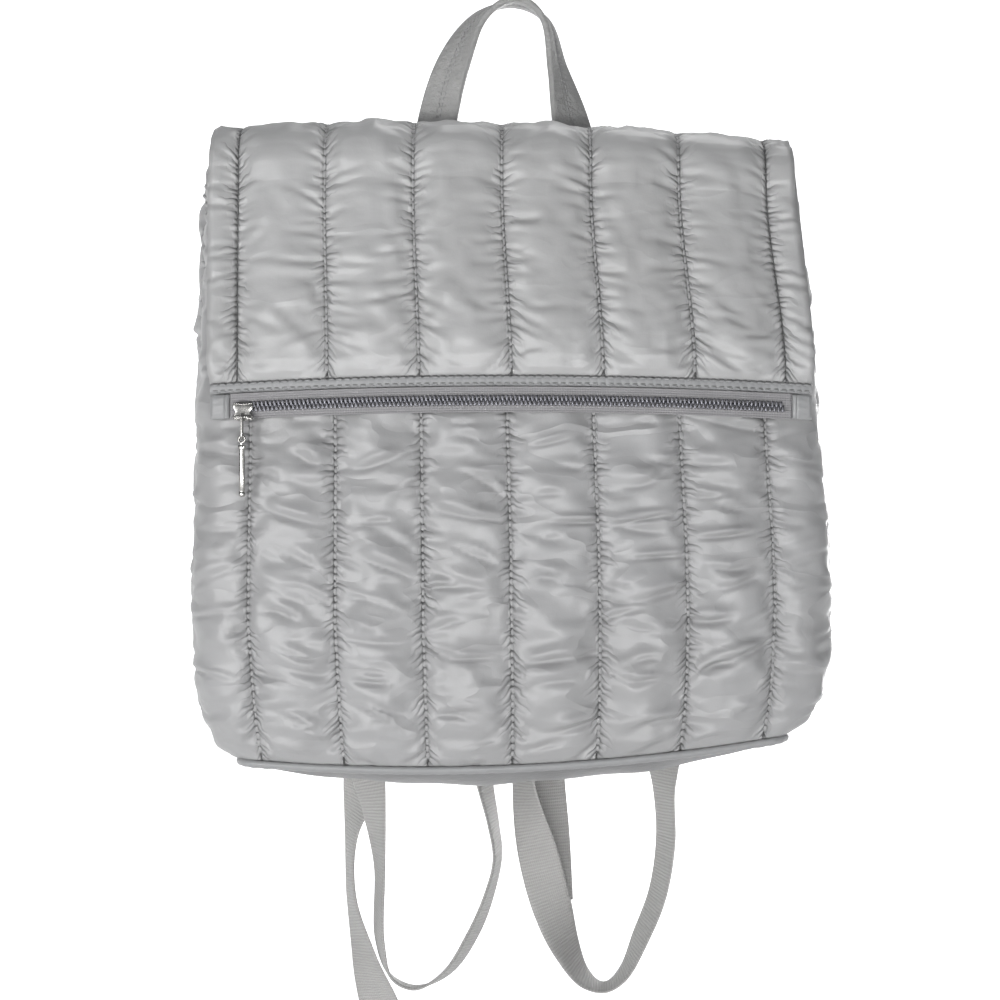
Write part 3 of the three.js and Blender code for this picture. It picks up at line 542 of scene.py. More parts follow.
def make_flap():
    """The padded flap as one closed shell: the outside, its rolled edges and the lining under it."""
    trial_offsets, shares, strip = flap_offsets(TRIAL_PER_CHANNEL)
    trial_ways = np.linspace(0, 1, FLAP_TRIAL_ROWS)
    seam = flap_seam_surface(trial_offsets, trial_ways)[::-1]
    puff = SEAM_HALF + PUFF_OUT * flap_fill(trial_ways)[::-1, None] * swell(shares)[None]
    pinned = np.zeros(puff.shape, bool)
    pinned[:, strip:-strip:TRIAL_PER_CHANNEL] = True
    pinned[0] = pinned[-1] = True
    pinned[:, 0] = pinned[:, -1] = True
    lift = padding_swell(seam, outward(seam, False), puff, pinned, False, 2.0, 0.02)
    lift = np.clip(lift, -1.6, 2.0)[::-1] * 0.6

    offsets, shares, strip = flap_offsets(FLAP_PER_CHANNEL)
    ways = np.linspace(0, 1, FLAP_ROWS)
    seam = flap_seam_surface(offsets, ways)
    out = -outward(seam, False)
    read_at = np.interp(offsets, trial_offsets, np.arange(len(trial_offsets)))
    fine = stretch(lift, ways * (FLAP_TRIAL_ROWS - 1), read_at, False)
    relief = np.zeros(fine.shape)
    along = np.broadcast_to((ways * FLAP_LENGTH)[:, None], fine.shape)
    for channel in range(-1, FRONT_CHANNELS + 1):
        first = strip + channel * FLAP_PER_CHANNEL
        cut = slice(max(0, first), first + FLAP_PER_CHANNEL)
        left_seam = (channel - FRONT_CHANNELS / 2) * FLAP_PITCH
        beside = np.broadcast_to((offsets[cut] - left_seam)[None], relief[:, cut].shape)
        sides = {-1: (FLAP_PITCH - beside,), FRONT_CHANNELS: (beside,)}
        sides = sides.get(channel, (beside, FLAP_PITCH - beside))
        crease_channel(relief[:, cut], beside, along[:, cut], sides, FLAP_PUCKERS, FLAP_FOLDS)
    fill = flap_fill(ways)[:, None]
    relief *= np.minimum(1, 12 * fill * np.minimum(shares, 1 - shares) + 0.15)
    puff = SEAM_HALF + PUFF_OUT * fill * flap_swell(ways, shares) + fine + relief
    outside = seam + out * np.maximum(puff, 0.4)[..., None]
    ways_in = np.linspace(1, 0, FLAP_LINING_ROWS)
    seam_in = flap_seam_surface(offsets, ways_in)
    out_in = outward(seam_in, False)
    puff_in = SEAM_HALF + PUFF_IN * flap_fill(ways_in)[:, None] * swell(shares)
    lining = seam_in - out_in * puff_in[..., None]
    hem = (outside[-1] + lining[0]) / 2 + [0, 0, -EDGE_ROUND / 2]
    tail = (outside[0] + lining[-1]) / 2 + [0, 0, -EDGE_ROUND / 2]
    points = np.concatenate([outside, [hem], lining, [tail]])
    obj = cloth_grid("fold_over_flap_cloth", points, False, True)
    close_ends(obj)
    row, column = grid_rows_columns(obj)
    seam_count = np.rint(offsets[column] / FLAP_PITCH)
    past = offsets[column] - seam_count * FLAP_PITCH
    down = np.clip(row / FLAP_ROWS, 0, 1)
    slope = np.tan(np.radians(np.clip(-101 + 156 * down, -55, 55)))
    mark_seams(obj, np.abs(past), down * FLAP_LENGTH, slope, (seam_count + 9) * 2 + (past > 0))
    lay_pattern(obj, offsets[column], row * FLAP_LENGTH / FLAP_ROWS)
    return obj, outside


def close_ends(obj):
    """Closes the open ends of a padded shell and turns its faces outwards."""
    bm = bmesh.new()
    bm.from_mesh(obj.data)
    open_edges = [edge for edge in bm.edges if edge.is_boundary]
    bmesh.ops.holes_fill(bm, edges=open_edges, sides=0)
    bmesh.ops.recalc_face_normals(bm, faces=bm.faces)
    bm.to_mesh(obj.data)
    bm.free()


# Each strap's middle line: sideways from the bag's middle, behind the back's outermost plane, height, turn in
# degrees and share of the full width, as in the part.
STRAP_LEFT_ROUTE = (
    (-18, -0.6, -112, 0, 1), (-18, -0.4, -150, 0, 1), (-19, 4, -280, 0, 1), (-18, 7, -395, 6, 1),
    (-16.5, 9, -430, 36, 1), (-15.5, 9, -462, 66, 1), (-10, 8, -490, 77, 1), (-7.5, 8, -510, 79, 1),
    (-12, 8, -531, 76, 1), (-22, 8, -556, 71, 1), (-38, 8, -580, 74, 1), (-57, 7, -589, 81, 1),
    (-72, 6, -582, 81, 1), (-78.5, 3, -560, 75, 1), (-78.5, 0, -515, 73, 1), (-82.5, 0, -476, 48, 1),
    (-87.5, 3, -446, 16, 1), (-88, 1.5, -420, 0, 1), (-88, 1, -401, 0, 1), (-88, 1.1, -394.5, 0, 1),
    (-88, 6.3, -386.5, 0, 1), (-88, 6.5, -384, 0, 1), (-88, 6.3, -381.5, 0, 1),
    (-88, 1.1, -373.5, 0, 1), (-88, 1, -367, 0, 1), (-88, -0.7, -348, 0, 1),
)
STRAP_RIGHT_ROUTE = (
    (18, -0.6, -112, 0, 1), (18, -0.4, -150, 0, 1), (18, 3, -280, 0, 1), (17, 1.9, -363, 0, 1),
    (17, 1.8, -369.8, 0, 1), (17, 7.7, -377.5, 0, 1), (17, 7.9, -380, 0, 1), (17, 7.7, -382.5, 0, 1),
    (17, 1.8, -390.2, 0, 1), (16.8, 1.9, -397, 0, 1), (11, 5, -430, -30, 1), (8, 6, -458, -58, 1),
    (10.5, 6, -480, -46, 1), (17, 5, -508, -14, 1), (25, 6, -538, 16, 1), (34, 7, -564, 48, 1),
    (45, 8, -583, 72, 1), (57, 8, -589, 90, 1), (68, 7, -581, 84, 1), (79, 6, -558, 74, 1),
    (89, 5, -532, 71, 1), (94, 5, -500, 68, 1), (93, 6, -468, 62, 1), (92, 4, -440, 24, 1),
    (92, 1, -418, 0, 1), (92, -1.3, -396, 0, 1),
)
TAIL_LEFT_ROUTE = (
    (-88, 8.6, -379, 0, 1), (-88, 8.6, -400, 0, 1), (-88, 13, -430, 0, 1), (-90, 19, -462, -16, 1),
    (-97, 23, -497, -68, 1), (-97, 20, -535, -74, 1), (-89, 17, -571, -50, 1), (-80, 26, -604, -14, 1),
)
TAIL_RIGHT_ROUTE = (
    (17, 10, -375, 0, 1), (17.5, 10, -396, 0, 1), (19, 12, -430, 0, 1), (21, 16, -465, 0, 1),
    (24, 15, -500, 0, 1), (26, 16, -538, 0, 1),
)
HANDLE_ROUTE = (
    (-47, -2.2, -132, 0, 1), (-46.5, -2.6, -100, 0, 1), (-44.5, -1, -71, 4, 1),
    (-33.5, -7, -32, 28, 0.92), (-17, -13, -6, 66, 0.85), (4, -16, 2, 90, 0.8),
    (20.5, -13, -8, 78, 0.85), (28.5, -7, -36, 60, 0.92), (38, -1, -74, 16, 1), (43, -2.6, -102, 0, 1),
    (44.5, -2.2, -132, 0, 1),
)
BACK_PLANE = BACK_Y + BACK_CROWN + SEAM_HALF + PUFF_OUT + 0.3
WEBBING_WIDTH = 25.0
WEBBING_THICKNESS = 1.6
HANDLE_WIDTH = 24.0
HANDLE_THICKNESS = 4.0
HANDLE_STEPS = 22
STRAP_STEPS = 10
SEWN_TOP = (3, 22)
SEWN_FOOT = (-17, -3)


def curve_through(points, centripetal, per_span):
    """Places, tangents and spans along a Catmull-Rom line through points."""
    points = np.array(points, float)
    ends = np.concatenate([[2 * points[0] - points[1]], points, [2 * points[-1] - points[-2]]])
    steps = np.linalg.norm(np.diff(ends, axis=0), axis=1) ** 0.5 if centripetal else np.ones(len(ends) - 1)
    places, tangents = [], []
    for span in range(len(points) - 1):
        a, b, c, d = ends[span:span + 4]
        s0, s1, s2 = steps[span:span + 3]
        leave = ((b - a) / s0 - (c - a) / (s0 + s1) + (c - b) / s1) * s1
        reach = ((c - b) / s1 - (d - b) / (s1 + s2) + (d - c) / s2) * s1
        last = span == len(points) - 2
        t = np.linspace(0, 1, per_span + 1)[:None if last else -1, None]
        square, cube = 3 * (c - b) - 2 * leave - reach, 2 * (b - c) + leave + reach
        places.append(b + leave * t + square * t ** 2 + cube * t ** 3)
        tangents.append(leave + 2 * square * t + 3 * cube * t ** 2)
    return np.concatenate(places), np.concatenate(tangents)


def unit(vectors):
    return vectors / np.maximum(np.linalg.norm(vectors, axis=-1, keepdims=True), 1e-9)


def run_along(points):
    """How far along a line of points each of them lies."""
    return np.concatenate([[0], np.cumsum(np.linalg.norm(np.diff(points, axis=0), axis=1))])


def read_line(places, run, points):
    """Points of a line at places along it."""
    return np.stack([np.interp(places, run, points[:, axis]) for axis in range(3)], -1)


def ribbon_frame(route, thickness, per_span):
    """Centres, width directions, face directions, shares of the width and lengths along a flat strap."""
    rows = np.array(route, float)
    centre = np.stack([BAG_X + rows[:, 0], BACK_PLANE + thickness / 2 + rows[:, 1], rows[:, 2]], -1)
    places, tangents = curve_through(centre, True, per_span)
    turns = curve_through(rows[:, 3:5], False, per_span)[0]
    along = unit(tangents)
    side = unit(np.cross(along, [0, 1, 0]))
    back = np.cross(side, along)
    angle = np.radians(turns[:, :1])
    wide = side * np.cos(angle) + back * np.sin(angle)
    return places, wide, np.cross(along, wide), turns[:, 1], run_along(places)


def sweep(name, points):
    """A closed solid through rings of points [place, point of the ring]."""
    obj = cloth_grid(name, points, True, False)
    close_ends(obj)
    return obj


def strap_ring(count):
    """A flat strap's section: shares of the half width and of the half thickness, rounded at both edges."""
    across_top = np.cos(np.linspace(np.pi, 0, count))
    flank = np.sqrt(np.maximum(0, 1 - np.clip((np.abs(across_top) - 0.93) / 0.07, 0, 1) ** 2)) * 0.85 + 0.15
    across_all = np.concatenate([across_top, across_top[::-1]])
    return across_all, np.concatenate([flank, -flank])


def make_ribbon(name, route, width, thickness, per_span, profile=None):
    """A flat strap or folded handle along a route, with a UV map of its cloth."""
    places, wide, face, share, length = ribbon_frame(route, thickness, per_span)
    side, lift = strap_ring(9) if profile is None else profile
    half = width / 2 * share[:, None]
    points = (places[:, None] + wide[:, None] * (half * side)[..., None]
              + face[:, None] * (lift * thickness / 2)[None, :, None])
    obj = sweep(name, points)
    row, column = grid_rows_columns(obj)
    lay_pattern(obj, side[column] * width / 2, length[row])
    return obj, (places, wide, face, share, length)


def scatter(name, template, matrices, angle=None):
    """One smooth object with a copy of the template at each matrix."""
    bm = bmesh.new()
    for matrix in matrices:
        template.transform(matrix)
        bm.from_mesh(template)
        template.transform(matrix.inverted())
    return smooth_faces(add_object(name, mesh_from(bm, name)), angle)


def place_matrix(centre, along, across_way, size):
    """A matrix that puts a unit shape at a centre: x along, y across, z outwards, half sizes in mm."""
    along = Vector(along).normalized()
    out = along.cross(Vector(across_way)).normalized()
    side = out.cross(along)
    columns = [along * size[0] * MM, side * size[1] * MM, out * size[2] * MM, Vector(centre) * MM]
    matrix = Matrix.Identity(4)
    for column, vector in enumerate(columns):
        for row in range(3):
            matrix[row][column] = vector[row]
    return matrix


def bead_template():
    bm = bmesh.new()
    bmesh.ops.create_uvsphere(bm, u_segments=8, v_segments=5, radius=1)
    return mesh_from(bm, "bead")


def walk(points, pitch):
    """Even places along a line of points, with the line's direction at each."""
    run = run_along(points)
    count = max(2, int(run[-1] / pitch))
    places = (np.arange(count) + 0.5) * run[-1] / count
    ahead, behind = (read_line(places + step, run, points) for step in (0.5, -0.5))
    return read_line(places, run, points), unit(ahead - behind)


def seam_beads(name, seams, size, pitch, raise_by):
    """Quilting stitches: a chain of small lens-shaped puffs of cloth along each seam. seams are pairs of a
    line of points and the outward direction at each of its points."""
    matrices = []
    for line, outs in seams:
        places, ways = walk(line, pitch)
        outs = read_line(np.linspace(0, 1, len(places)), np.linspace(0, 1, len(line)), outs)
        for place, way, out in zip(places, ways, outs):
            jitter = 1 + 0.1 * chance.normal()
            sway = np.cross(out, way) * chance.normal(0, 0.12)
            matrices.append(place_matrix(place + out * raise_by + sway, way, np.cross(out, way),
                                         (size[0] * jitter, size[1] * jitter, size[2])))
    return scatter(name, bead_template(), matrices)


HEM_BAND_PLACES = 760
HEM_BAND_HEIGHT = 5.5
HEM_BAND_THICKNESS = 3.0
TAPE_WIDTH = 14.0
TAPE_DROP = 6.4
BAND_DROP = 0.6
CHAIN_HALF_LENGTH = 151.0
CHAIN_DROP = 7.6
CHAIN_FRONT = 3.15
TAPE_HALF = 153.7
TAB_PLACES = 60
TAB_FROM = 154.0
TAB_THICKNESS = 4.4
GATHER_PITCH = 4.3


def hem_face(x):
    """The flap's front at its hem, the line that the band, the tape and the teeth follow."""
    return flap_front_y(x, hem_z(x))


def hem_tube(name, xs, middle_z, middle_y, ring_y, ring_z):
    """A closed strip along the hem. The rings give each place's offsets from its middle line."""
    points = np.stack([np.broadcast_to(xs[:, None], ring_y.shape), middle_y[:, None] + ring_y,
                       middle_z[:, None] + ring_z], -1)
    obj = sweep(name, points)
    row, column = grid_rows_columns(obj)
    lay_pattern(obj, xs[row], ring_z[row, column])
    return obj


def soft_square(count, power):
    """Angles round a section, and its places across and up: a circle at power 0, a square at power 1."""
    angle = np.linspace(0, 2 * np.pi, count, endpoint=False)
    square = 1 / np.maximum(np.abs(np.sin(angle)), np.abs(np.cos(angle))) ** power
    return angle, np.cos(angle) * square, np.sin(angle) * square


def tape_z(x):
    """The tape's middle line."""
    return hem_z(x) - TAPE_DROP - TAPE_WIDTH / 2


def make_hem_band():
    """The gathered binding that holds the flap's lower edge, like a soft rope with small even gathers."""
    xs = np.linspace(BAG_X - FLAP_HALF_WIDTH, BAG_X + FLAP_HALF_WIDTH, HEM_BAND_PLACES)
    angle, right, up = soft_square(20, 0.45)
    twist = 2 * np.pi * xs[:, None] / GATHER_PITCH + 1.1 * np.sin(angle)[None]
    swell_by = 0.18 * np.abs(np.sin(twist / 2)) ** 0.6 - 0.16 + 0.05 * np.sin(xs / 7.3)[:, None]
    ring_y = -(HEM_BAND_THICKNESS / 2 + swell_by) * right
    ring_z = (HEM_BAND_HEIGHT / 2 + swell_by) * up
    middle_z = hem_z(xs) - BAND_DROP - HEM_BAND_HEIGHT / 2
    return hem_tube("flap_hem_binding", xs, middle_z, hem_face(xs), ring_y, ring_z)


def make_zip_tape():
    """The zip's woven tape with a raised cord beside the teeth at its upper and lower edges."""
    xs = np.linspace(BAG_X - TAPE_HALF, BAG_X + TAPE_HALF, 240)
    heights = np.array([-1, -0.96, -0.9, -0.5, -0.42, -0.36, -0.3, -0.16,
                        0.16, 0.3, 0.36, 0.42, 0.62, 0.9, 0.96, 1])
    cords = 0.35 * np.exp(-((np.abs(heights) - 0.38) / 0.05) ** 2) + 0.12 * (np.abs(heights) > 0.9)
    lift = np.concatenate([-0.42 - cords, np.full(len(heights), 0.45)])
    rise = np.concatenate([heights, heights[::-1]]) * TAPE_WIDTH / 2
    wave = 0.08 * np.sin(xs / 5.1)[:, None] + 0.06 * np.sin(xs / 2.3)[:, None]
    ring_y = lift[None] + wave * (lift < 0)
    ring_z = np.broadcast_to(rise[None], ring_y.shape)
    return hem_tube("zip_tape_cloth", xs, tape_z(xs), hem_face(xs), ring_y, ring_z)


def tooth_template():
    """One zip tooth: a bevelled block with a thinner head that locks between its neighbours."""
    bm = bmesh.new()
    bmesh.ops.create_cube(bm, size=2)
    bmesh.ops.bevel(bm, geom=list(bm.edges), offset=0.35, offset_type="OFFSET", segments=2, profile=0.5,
                    affect="EDGES", material=-1)
    for vertex in bm.verts:
        if vertex.co.y > 0.2:
            vertex.co.x *= 0.72
            vertex.co.z *= 0.86
    return mesh_from(bm, "tooth")


TOOTH_PITCH = 2.3
TOOTH_HALVES = (0.78, 1.8, 1.0)


def make_zip_teeth():
    """Two rows of teeth that lock into each other along the zip."""
    matrices = []
    count = int((2 * CHAIN_HALF_LENGTH - 2) / TOOTH_PITCH * 2)
    for index in range(count):
        x = BAG_X - CHAIN_HALF_LENGTH + 1 + (index + 0.5) * TOOTH_PITCH / 2
        way_up = 1 if index % 2 == 0 else -1
        z = hem_z(x) - TAPE_DROP - CHAIN_DROP + 1.05 * way_up
        y = hem_face(x) - CHAIN_FRONT + 1.15 + 0.03 * chance.normal()
        slope = (hem_z(x + 1) - hem_z(x - 1)) / 2
        matrices.append(place_matrix((x, y, z), (-way_up, 0, -way_up * slope), (0, 0, -way_up), TOOTH_HALVES))
    return scatter("zip_teeth", tooth_template(), matrices, 40)


def make_zip_tab(name, side):
    """A short end of shiny cloth wrapped round the zip's end, with soft crosswise gathers."""
    xs = BAG_X + side * np.linspace(TAB_FROM, FLAP_HALF_WIDTH, TAB_PLACES)
    angle, right, up = soft_square(32, 0.25)
    run = np.linspace(0, 1, TAB_PLACES)[:, None]
    ends = np.minimum(1, 5.5 * np.minimum(run + 0.02, 1.02 - run)) ** 0.5
    rounded = ends * (1 - 0.3 * np.exp(-((run - 0.22) / 0.05) ** 2))
    gather = 0.28 * np.sin(11 * angle[None] + 3.5 * run + side) * np.sin(np.pi * run) ** 0.5 * np.cos(angle)
    ring_y = -(TAB_THICKNESS / 2 - 0.2) * rounded * right - gather
    ring_z = (TAPE_WIDTH / 2 - 0.15) * (0.9 + 0.1 * rounded) * up
    return hem_tube(name, xs, tape_z(xs), hem_face(xs), ring_y, ring_z)


def stitch_row(name, line, out, length, gap, thick):
    """A row of thread stitches along a line of points."""
    size = (length / 2, thick, thick * 0.8)
    matrices = [place_matrix(place, way, np.cross(out, way), size)
                for place, way in zip(*walk(line, length + gap))]
    return scatter(name, bead_template(), matrices)


def sewn_box(name, line, thickness, half_width, start, end):
    """A box of stitches with a cross in it, where a strap is sewn down from start to end. Lengths below 0
    count back from the strap's far end."""
    places, wide, length = line[0], line[1][0], line[-1]
    if start < 0:
        start, end = length[-1] + start, length[-1] + end
    steps = np.linspace(0, 1, 8)
    run = start + (end - start) * steps
    sway = half_width * (2 * steps - 1)
    rows = ((run, steps * 0 + half_width), (run, steps * 0 - half_width), (steps * 0 + start, sway),
            (steps * 0 + end, sway), (run, sway), (run, -sway))
    lift = np.array([0, thickness / 2 + 0.1, 0])
    parts = [stitch_row("stitches", read_line(along, length, places) + wide * offset[:, None] + lift,
                        (0, 1, 0), 2.2, 0.9, 0.32) for along, offset in rows]
    return join(name, *parts)


# The slider and its pull. The bridge's bar carries the link, and the link carries the bar's eye.
SLIDER_X = BAG_X - 146.0
SLIDER_FRONT = -101.31
SLIDER_Z = -245.72
SLIDER_SIZE = (12.0, 1.6, 10.5)
BRIDGE_Y = -104.713
BRIDGE_Z = -248.974
BRIDGE_HALF = 4.0
LINK_RADIUS = 1.75
LINK_STRAIGHT = 10.3
LINK_WIRE = 0.6
EYE_Z = -261.02
EYE_RING = 1.75
EYE_WIRE = 0.63
BAR_TOP = -264.22


def tube(name, path, radius, ring_axis, closed):
    """A round wire along a path that lies in a plane square to ring_axis."""
    path = np.array(path, float)
    if closed:
        along = unit(np.roll(path, -1, 0) - np.roll(path, 1, 0))
    else:
        along = unit(np.gradient(path, axis=0))
    flat = unit(np.cross(along, ring_axis))
    angle = np.linspace(0, 2 * np.pi, 12, endpoint=False)
    points = (path[:, None] + flat[:, None] * (radius * np.cos(angle))[None, :, None]
              + np.array(ring_axis, float) * (radius * np.sin(angle))[None, :, None])
    obj = cloth_grid(name, points, True, closed)
    if not closed:
        close_ends(obj)
    return obj


def join(name, *parts):
    """One mesh from several."""
    bm = bmesh.new()
    for part in parts:
        bm.from_mesh(part.data)
    bmesh.ops.recalc_face_normals(bm, faces=bm.faces)
    for part in parts:
        bpy.data.objects.remove(part)
    return smooth_faces(add_object(name, mesh_from(bm, name)), 38)


def stack(name, rows, profile):
    """A closed solid of rings up the z axis. Each row is x, y, z, half width and half thickness."""
    rows = np.array(rows, float)
    shape = np.array(profile, float)
    x, y, z, half_x, half_y = (rows[:, number:number + 1] for number in range(5))
    points = np.broadcast_arrays(x + half_x * shape[:, 0], y + half_y * shape[:, 1], z)
    return sweep(name, np.stack(points, -1))


def make_slider():
    """The slider's plate with its waist, two bent rails and an arched bridge."""
    width, depth, height = SLIDER_SIZE
    shape = np.stack(soft_square(28, 0.7)[1:], -1)
    rows = []
    for share in np.linspace(-1, 1, 15):
        rounded = max(0.12, 1 - abs(share) ** 5) ** 0.5
        waist = 1 - 0.3 * math.exp(-((share + 0.05) / 0.35) ** 2)
        rows.append((SLIDER_X, SLIDER_FRONT + depth / 2, SLIDER_Z + share * height / 2,
                     width / 2 * rounded * waist, depth / 2 * rounded))
    plate = stack("plate", rows, shape)
    arch = np.linspace(0, np.pi, 21)
    path = np.stack([SLIDER_X + BRIDGE_HALF * np.sign(np.cos(arch)) * np.abs(np.cos(arch)) ** 0.55,
                     SLIDER_FRONT + 0.3 + (BRIDGE_Y - SLIDER_FRONT - 0.3) * np.sin(arch) ** 0.35,
                     np.full(21, BRIDGE_Z)], -1)
    bridge = tube("bridge", path, 0.82, (0, 0, 1), False)
    rail = ((-5.2, 0.25, 4.2), (0, 0.05, 3.7), (5.2, 0.25, 4.2))
    rails = [tube("rail", [(SLIDER_X + x, SLIDER_FRONT + y, SLIDER_Z + way * z) for x, y, z in rail],
                  0.5, (0, 0, 1), False) for way in (-1, 1)]
    return join("zip_slider_polished", plate, bridge, *rails)


def make_link():
    """A long wire ring from front to back round the bridge's bar."""
    turn = np.linspace(0, np.pi, 15)
    path = [(SLIDER_X, BRIDGE_Y - way * LINK_RADIUS * math.cos(t), end + way * LINK_RADIUS * math.sin(t))
            for way, end in ((1, BRIDGE_Z), (-1, BRIDGE_Z - LINK_STRAIGHT)) for t in turn]
    return join("pull_link_polished", tube("link", path, LINK_WIRE, (1, 0, 0), True))


BAR_PROFILE = ((-1, -0.35), (-0.85, -0.62), (0.3, -1), (0.5, -0.98), (0.95, -0.45), (1, -0.3), (1, 0.35),
               (0.7, 0.95), (-0.7, 0.95), (-1, 0.35))


def make_pull_bar():
    """The pull's bar: an eye, a neck, a collar, a long ridged bar and a rounded foot."""
    turn = np.linspace(0, 2 * np.pi, 28, endpoint=False)
    eye = tube("eye", np.stack([SLIDER_X + EYE_RING * np.cos(turn), np.full(28, BRIDGE_Y),
                                EYE_Z + EYE_RING * np.sin(turn)], -1), EYE_WIRE, (0, 1, 0), True)
    stages = ((1.6, 0.6, 0.6), (0.9, 0.62, 0.62), (0.1, 0.7, 0.7),
              (0, 1.7, 0.9), (-0.25, 2, 1.1), (-2.1, 2, 1.1),
              (-2.4, 1.75, 0.95), (-2.5, 1.42, 0.8), (-4, 1.42, 0.82), (-14, 1.5, 0.86), (-24.5, 1.6, 0.88),
              (-24.9, 1.3, 0.7), (-25.3, 1.3, 0.7), (-25.7, 1.6, 0.88), (-27.5, 1.6, 0.88), (-28, 1.25, 0.6))
    rows = [(SLIDER_X, BRIDGE_Y, BAR_TOP + down, wide, thick) for down, wide, thick in stages[::-1]]
    return join("pull_bar_polished", eye, stack("bar", rows, BAR_PROFILE))


PIPING_RADIUS = 2.2
PIPING_PLACES = 720
BASE_PLACES = 288


def piping_z(x):
    return base_z(x) - PIPING_RADIUS - 0.3


def base_outline(count):
    """The base seam's plan and its outward directions."""
    around = np.linspace(0, CHANNELS, count, endpoint=False)
    plan = sack_seam_surface(np.zeros(count), around)
    way = np.roll(plan, -1, 0) - np.roll(plan, 1, 0)
    out = unit(np.stack([way[:, 1], -way[:, 0], way[:, 0] * 0], -1))
    return plan, out


def make_piping():
    """The piped seam round the base: cloth wrapped round a cord, gathered a little as it turns."""
    plan, out = base_outline(PIPING_PLACES)
    angle = np.linspace(0, 2 * np.pi, 14, endpoint=False)
    gathers = 0.12 * np.sin(np.arange(PIPING_PLACES) * 0.9)[:, None] + 0.1 * np.sin(3 * angle)[None]
    reach = PIPING_RADIUS + gathers
    middle = np.stack([plan[:, 0], plan[:, 1], piping_z(plan[:, 0])], -1)
    points = middle[:, None] + out[:, None] * (reach * np.cos(angle))[..., None]
    points[..., 2] += reach * np.sin(angle)
    obj = cloth_grid("base_piping_cord", points, True, True)
    row, column = grid_rows_columns(obj)
    lay_pattern(obj, row * 1.35, column * 1.0)
    return obj


BASE_SAG = 13.0
BASE_THICKNESS = 2.5


def make_base():
    """The plain base, sagging in its middle, with soft folds that run from corner to corner."""
    plan, out = base_outline(BASE_PLACES)
    row = body_row(0.0)
    middle = np.array([row["x"], (row["front"] + row["back"]) / 2])
    edge = plan[:, :2] - out[:, :2] * (PIPING_RADIUS + 0.3) - middle
    share = np.linspace(1, 0.04, 30)[:, None, None]
    spot = middle + edge[None] * share
    x, y = spot[..., 0], spot[..., 1]
    inward = 1 - share[..., 0] ** 2
    folds = 0.8 * np.sin(x / 17 + 1.2 * np.sin(y / 21)) + 0.5 * np.sin(x / 7.5 + 1)
    height = piping_z(x) - BASE_SAG * inward + folds * inward
    under = np.concatenate([spot, (height - BASE_THICKNESS / 2)[..., None]], -1)
    over = np.concatenate([spot, (height + BASE_THICKNESS / 2)[..., None]], -1)
    obj = sweep("base_cloth", np.concatenate([over[::-1], under]))
    ring, column = grid_rows_columns(obj)
    flat = np.concatenate([spot[::-1], spot])[ring, column]
    lay_pattern(obj, flat[:, 0], flat[:, 1])
    return obj


GLIDE_WIDTH = 33.0
GLIDE_HEIGHT = 30.0
GLIDE_THICKNESS = 2.4
GLIDE_RAIL = 3.4
GLIDE_LEFT = (-88.0, 3.3, -384.0)
GLIDE_RIGHT = (17.0, 4.3, -380.0)


def make_glide(name, place):
    """A strap adjuster: a flat metal frame with a middle bar, its edges rounded by casting."""
    x, y, z = BAG_X + place[0], BACK_PLANE + place[1] + GLIDE_THICKNESS / 2, place[2]
    half_x, half_z = GLIDE_WIDTH / 2 * MM, GLIDE_HEIGHT / 2 * MM
    bm = bmesh.new()
    bmesh.ops.create_grid(bm, x_segments=1, y_segments=2, size=1)
    for vertex in bm.verts:
        vertex.co = Vector((vertex.co.x * half_x, 0, vertex.co.y * half_z))
    bmesh.ops.inset_individual(bm, faces=bm.faces, thickness=GLIDE_RAIL / 2 * MM, depth=0)
    windows = [face for face in bm.faces if len(face.verts) == 4 and face.calc_area() > 1e-4
               and all(abs(vertex.co.x) < half_x - 1e-5 for vertex in face.verts)]
    bmesh.ops.delete(bm, geom=windows, context="FACES")
    for vertex in bm.verts:
        if abs(vertex.co.x) < half_x - 1e-5:
            vertex.co.x -= math.copysign(GLIDE_RAIL / 2 * MM, vertex.co.x)
            if abs(vertex.co.z) > half_z / 2:
                vertex.co.z -= math.copysign(GLIDE_RAIL / 2 * MM, vertex.co.z)
    bmesh.ops.solidify(bm, geom=bm.faces, thickness=GLIDE_THICKNESS * MM)
    bmesh.ops.recalc_face_normals(bm, faces=bm.faces)
    middle = sum((vertex.co.y for vertex in bm.verts)) / len(bm.verts)
    bmesh.ops.translate(bm, verts=bm.verts, vec=Vector((x * MM, y * MM - middle, z * MM)))
    sharp = [edge for edge in bm.edges if len(edge.link_faces) == 2 and edge.calc_face_angle() > 0.6]
    bmesh.ops.bevel(bm, geom=sharp, offset=0.7 * MM, offset_type="OFFSET", segments=3, profile=0.5,
                    affect="EDGES", material=-1, clamp_overlap=True)
    return smooth_faces(add_object(name, mesh_from(bm, name)), 40)


class Signal:
    """A shader socket. Sums and products of signals add the math nodes that they stand for."""

    def __init__(self, finish, socket):
        self.finish = finish
        self.socket = socket

    def math(self, kind, *values):
        return self.finish.math(kind, *values)

    def __add__(self, other):
        return self.math("ADD", self, other)

    __radd__ = __add__

    def __sub__(self, other):
        return self.math("SUBTRACT", self, other)

    def __rsub__(self, other):
        return self.math("SUBTRACT", other, self)

    def __mul__(self, other):
        return self.math("MULTIPLY", self, other)

    __rmul__ = __mul__

    def sine(self):
        return self.math("SINE", self)

    def absolute(self):
        return self.math("ABSOLUTE", self)

    def clamped(self, low, high):
        return self.math("MINIMUM", self.math("MAXIMUM", self, low), high)


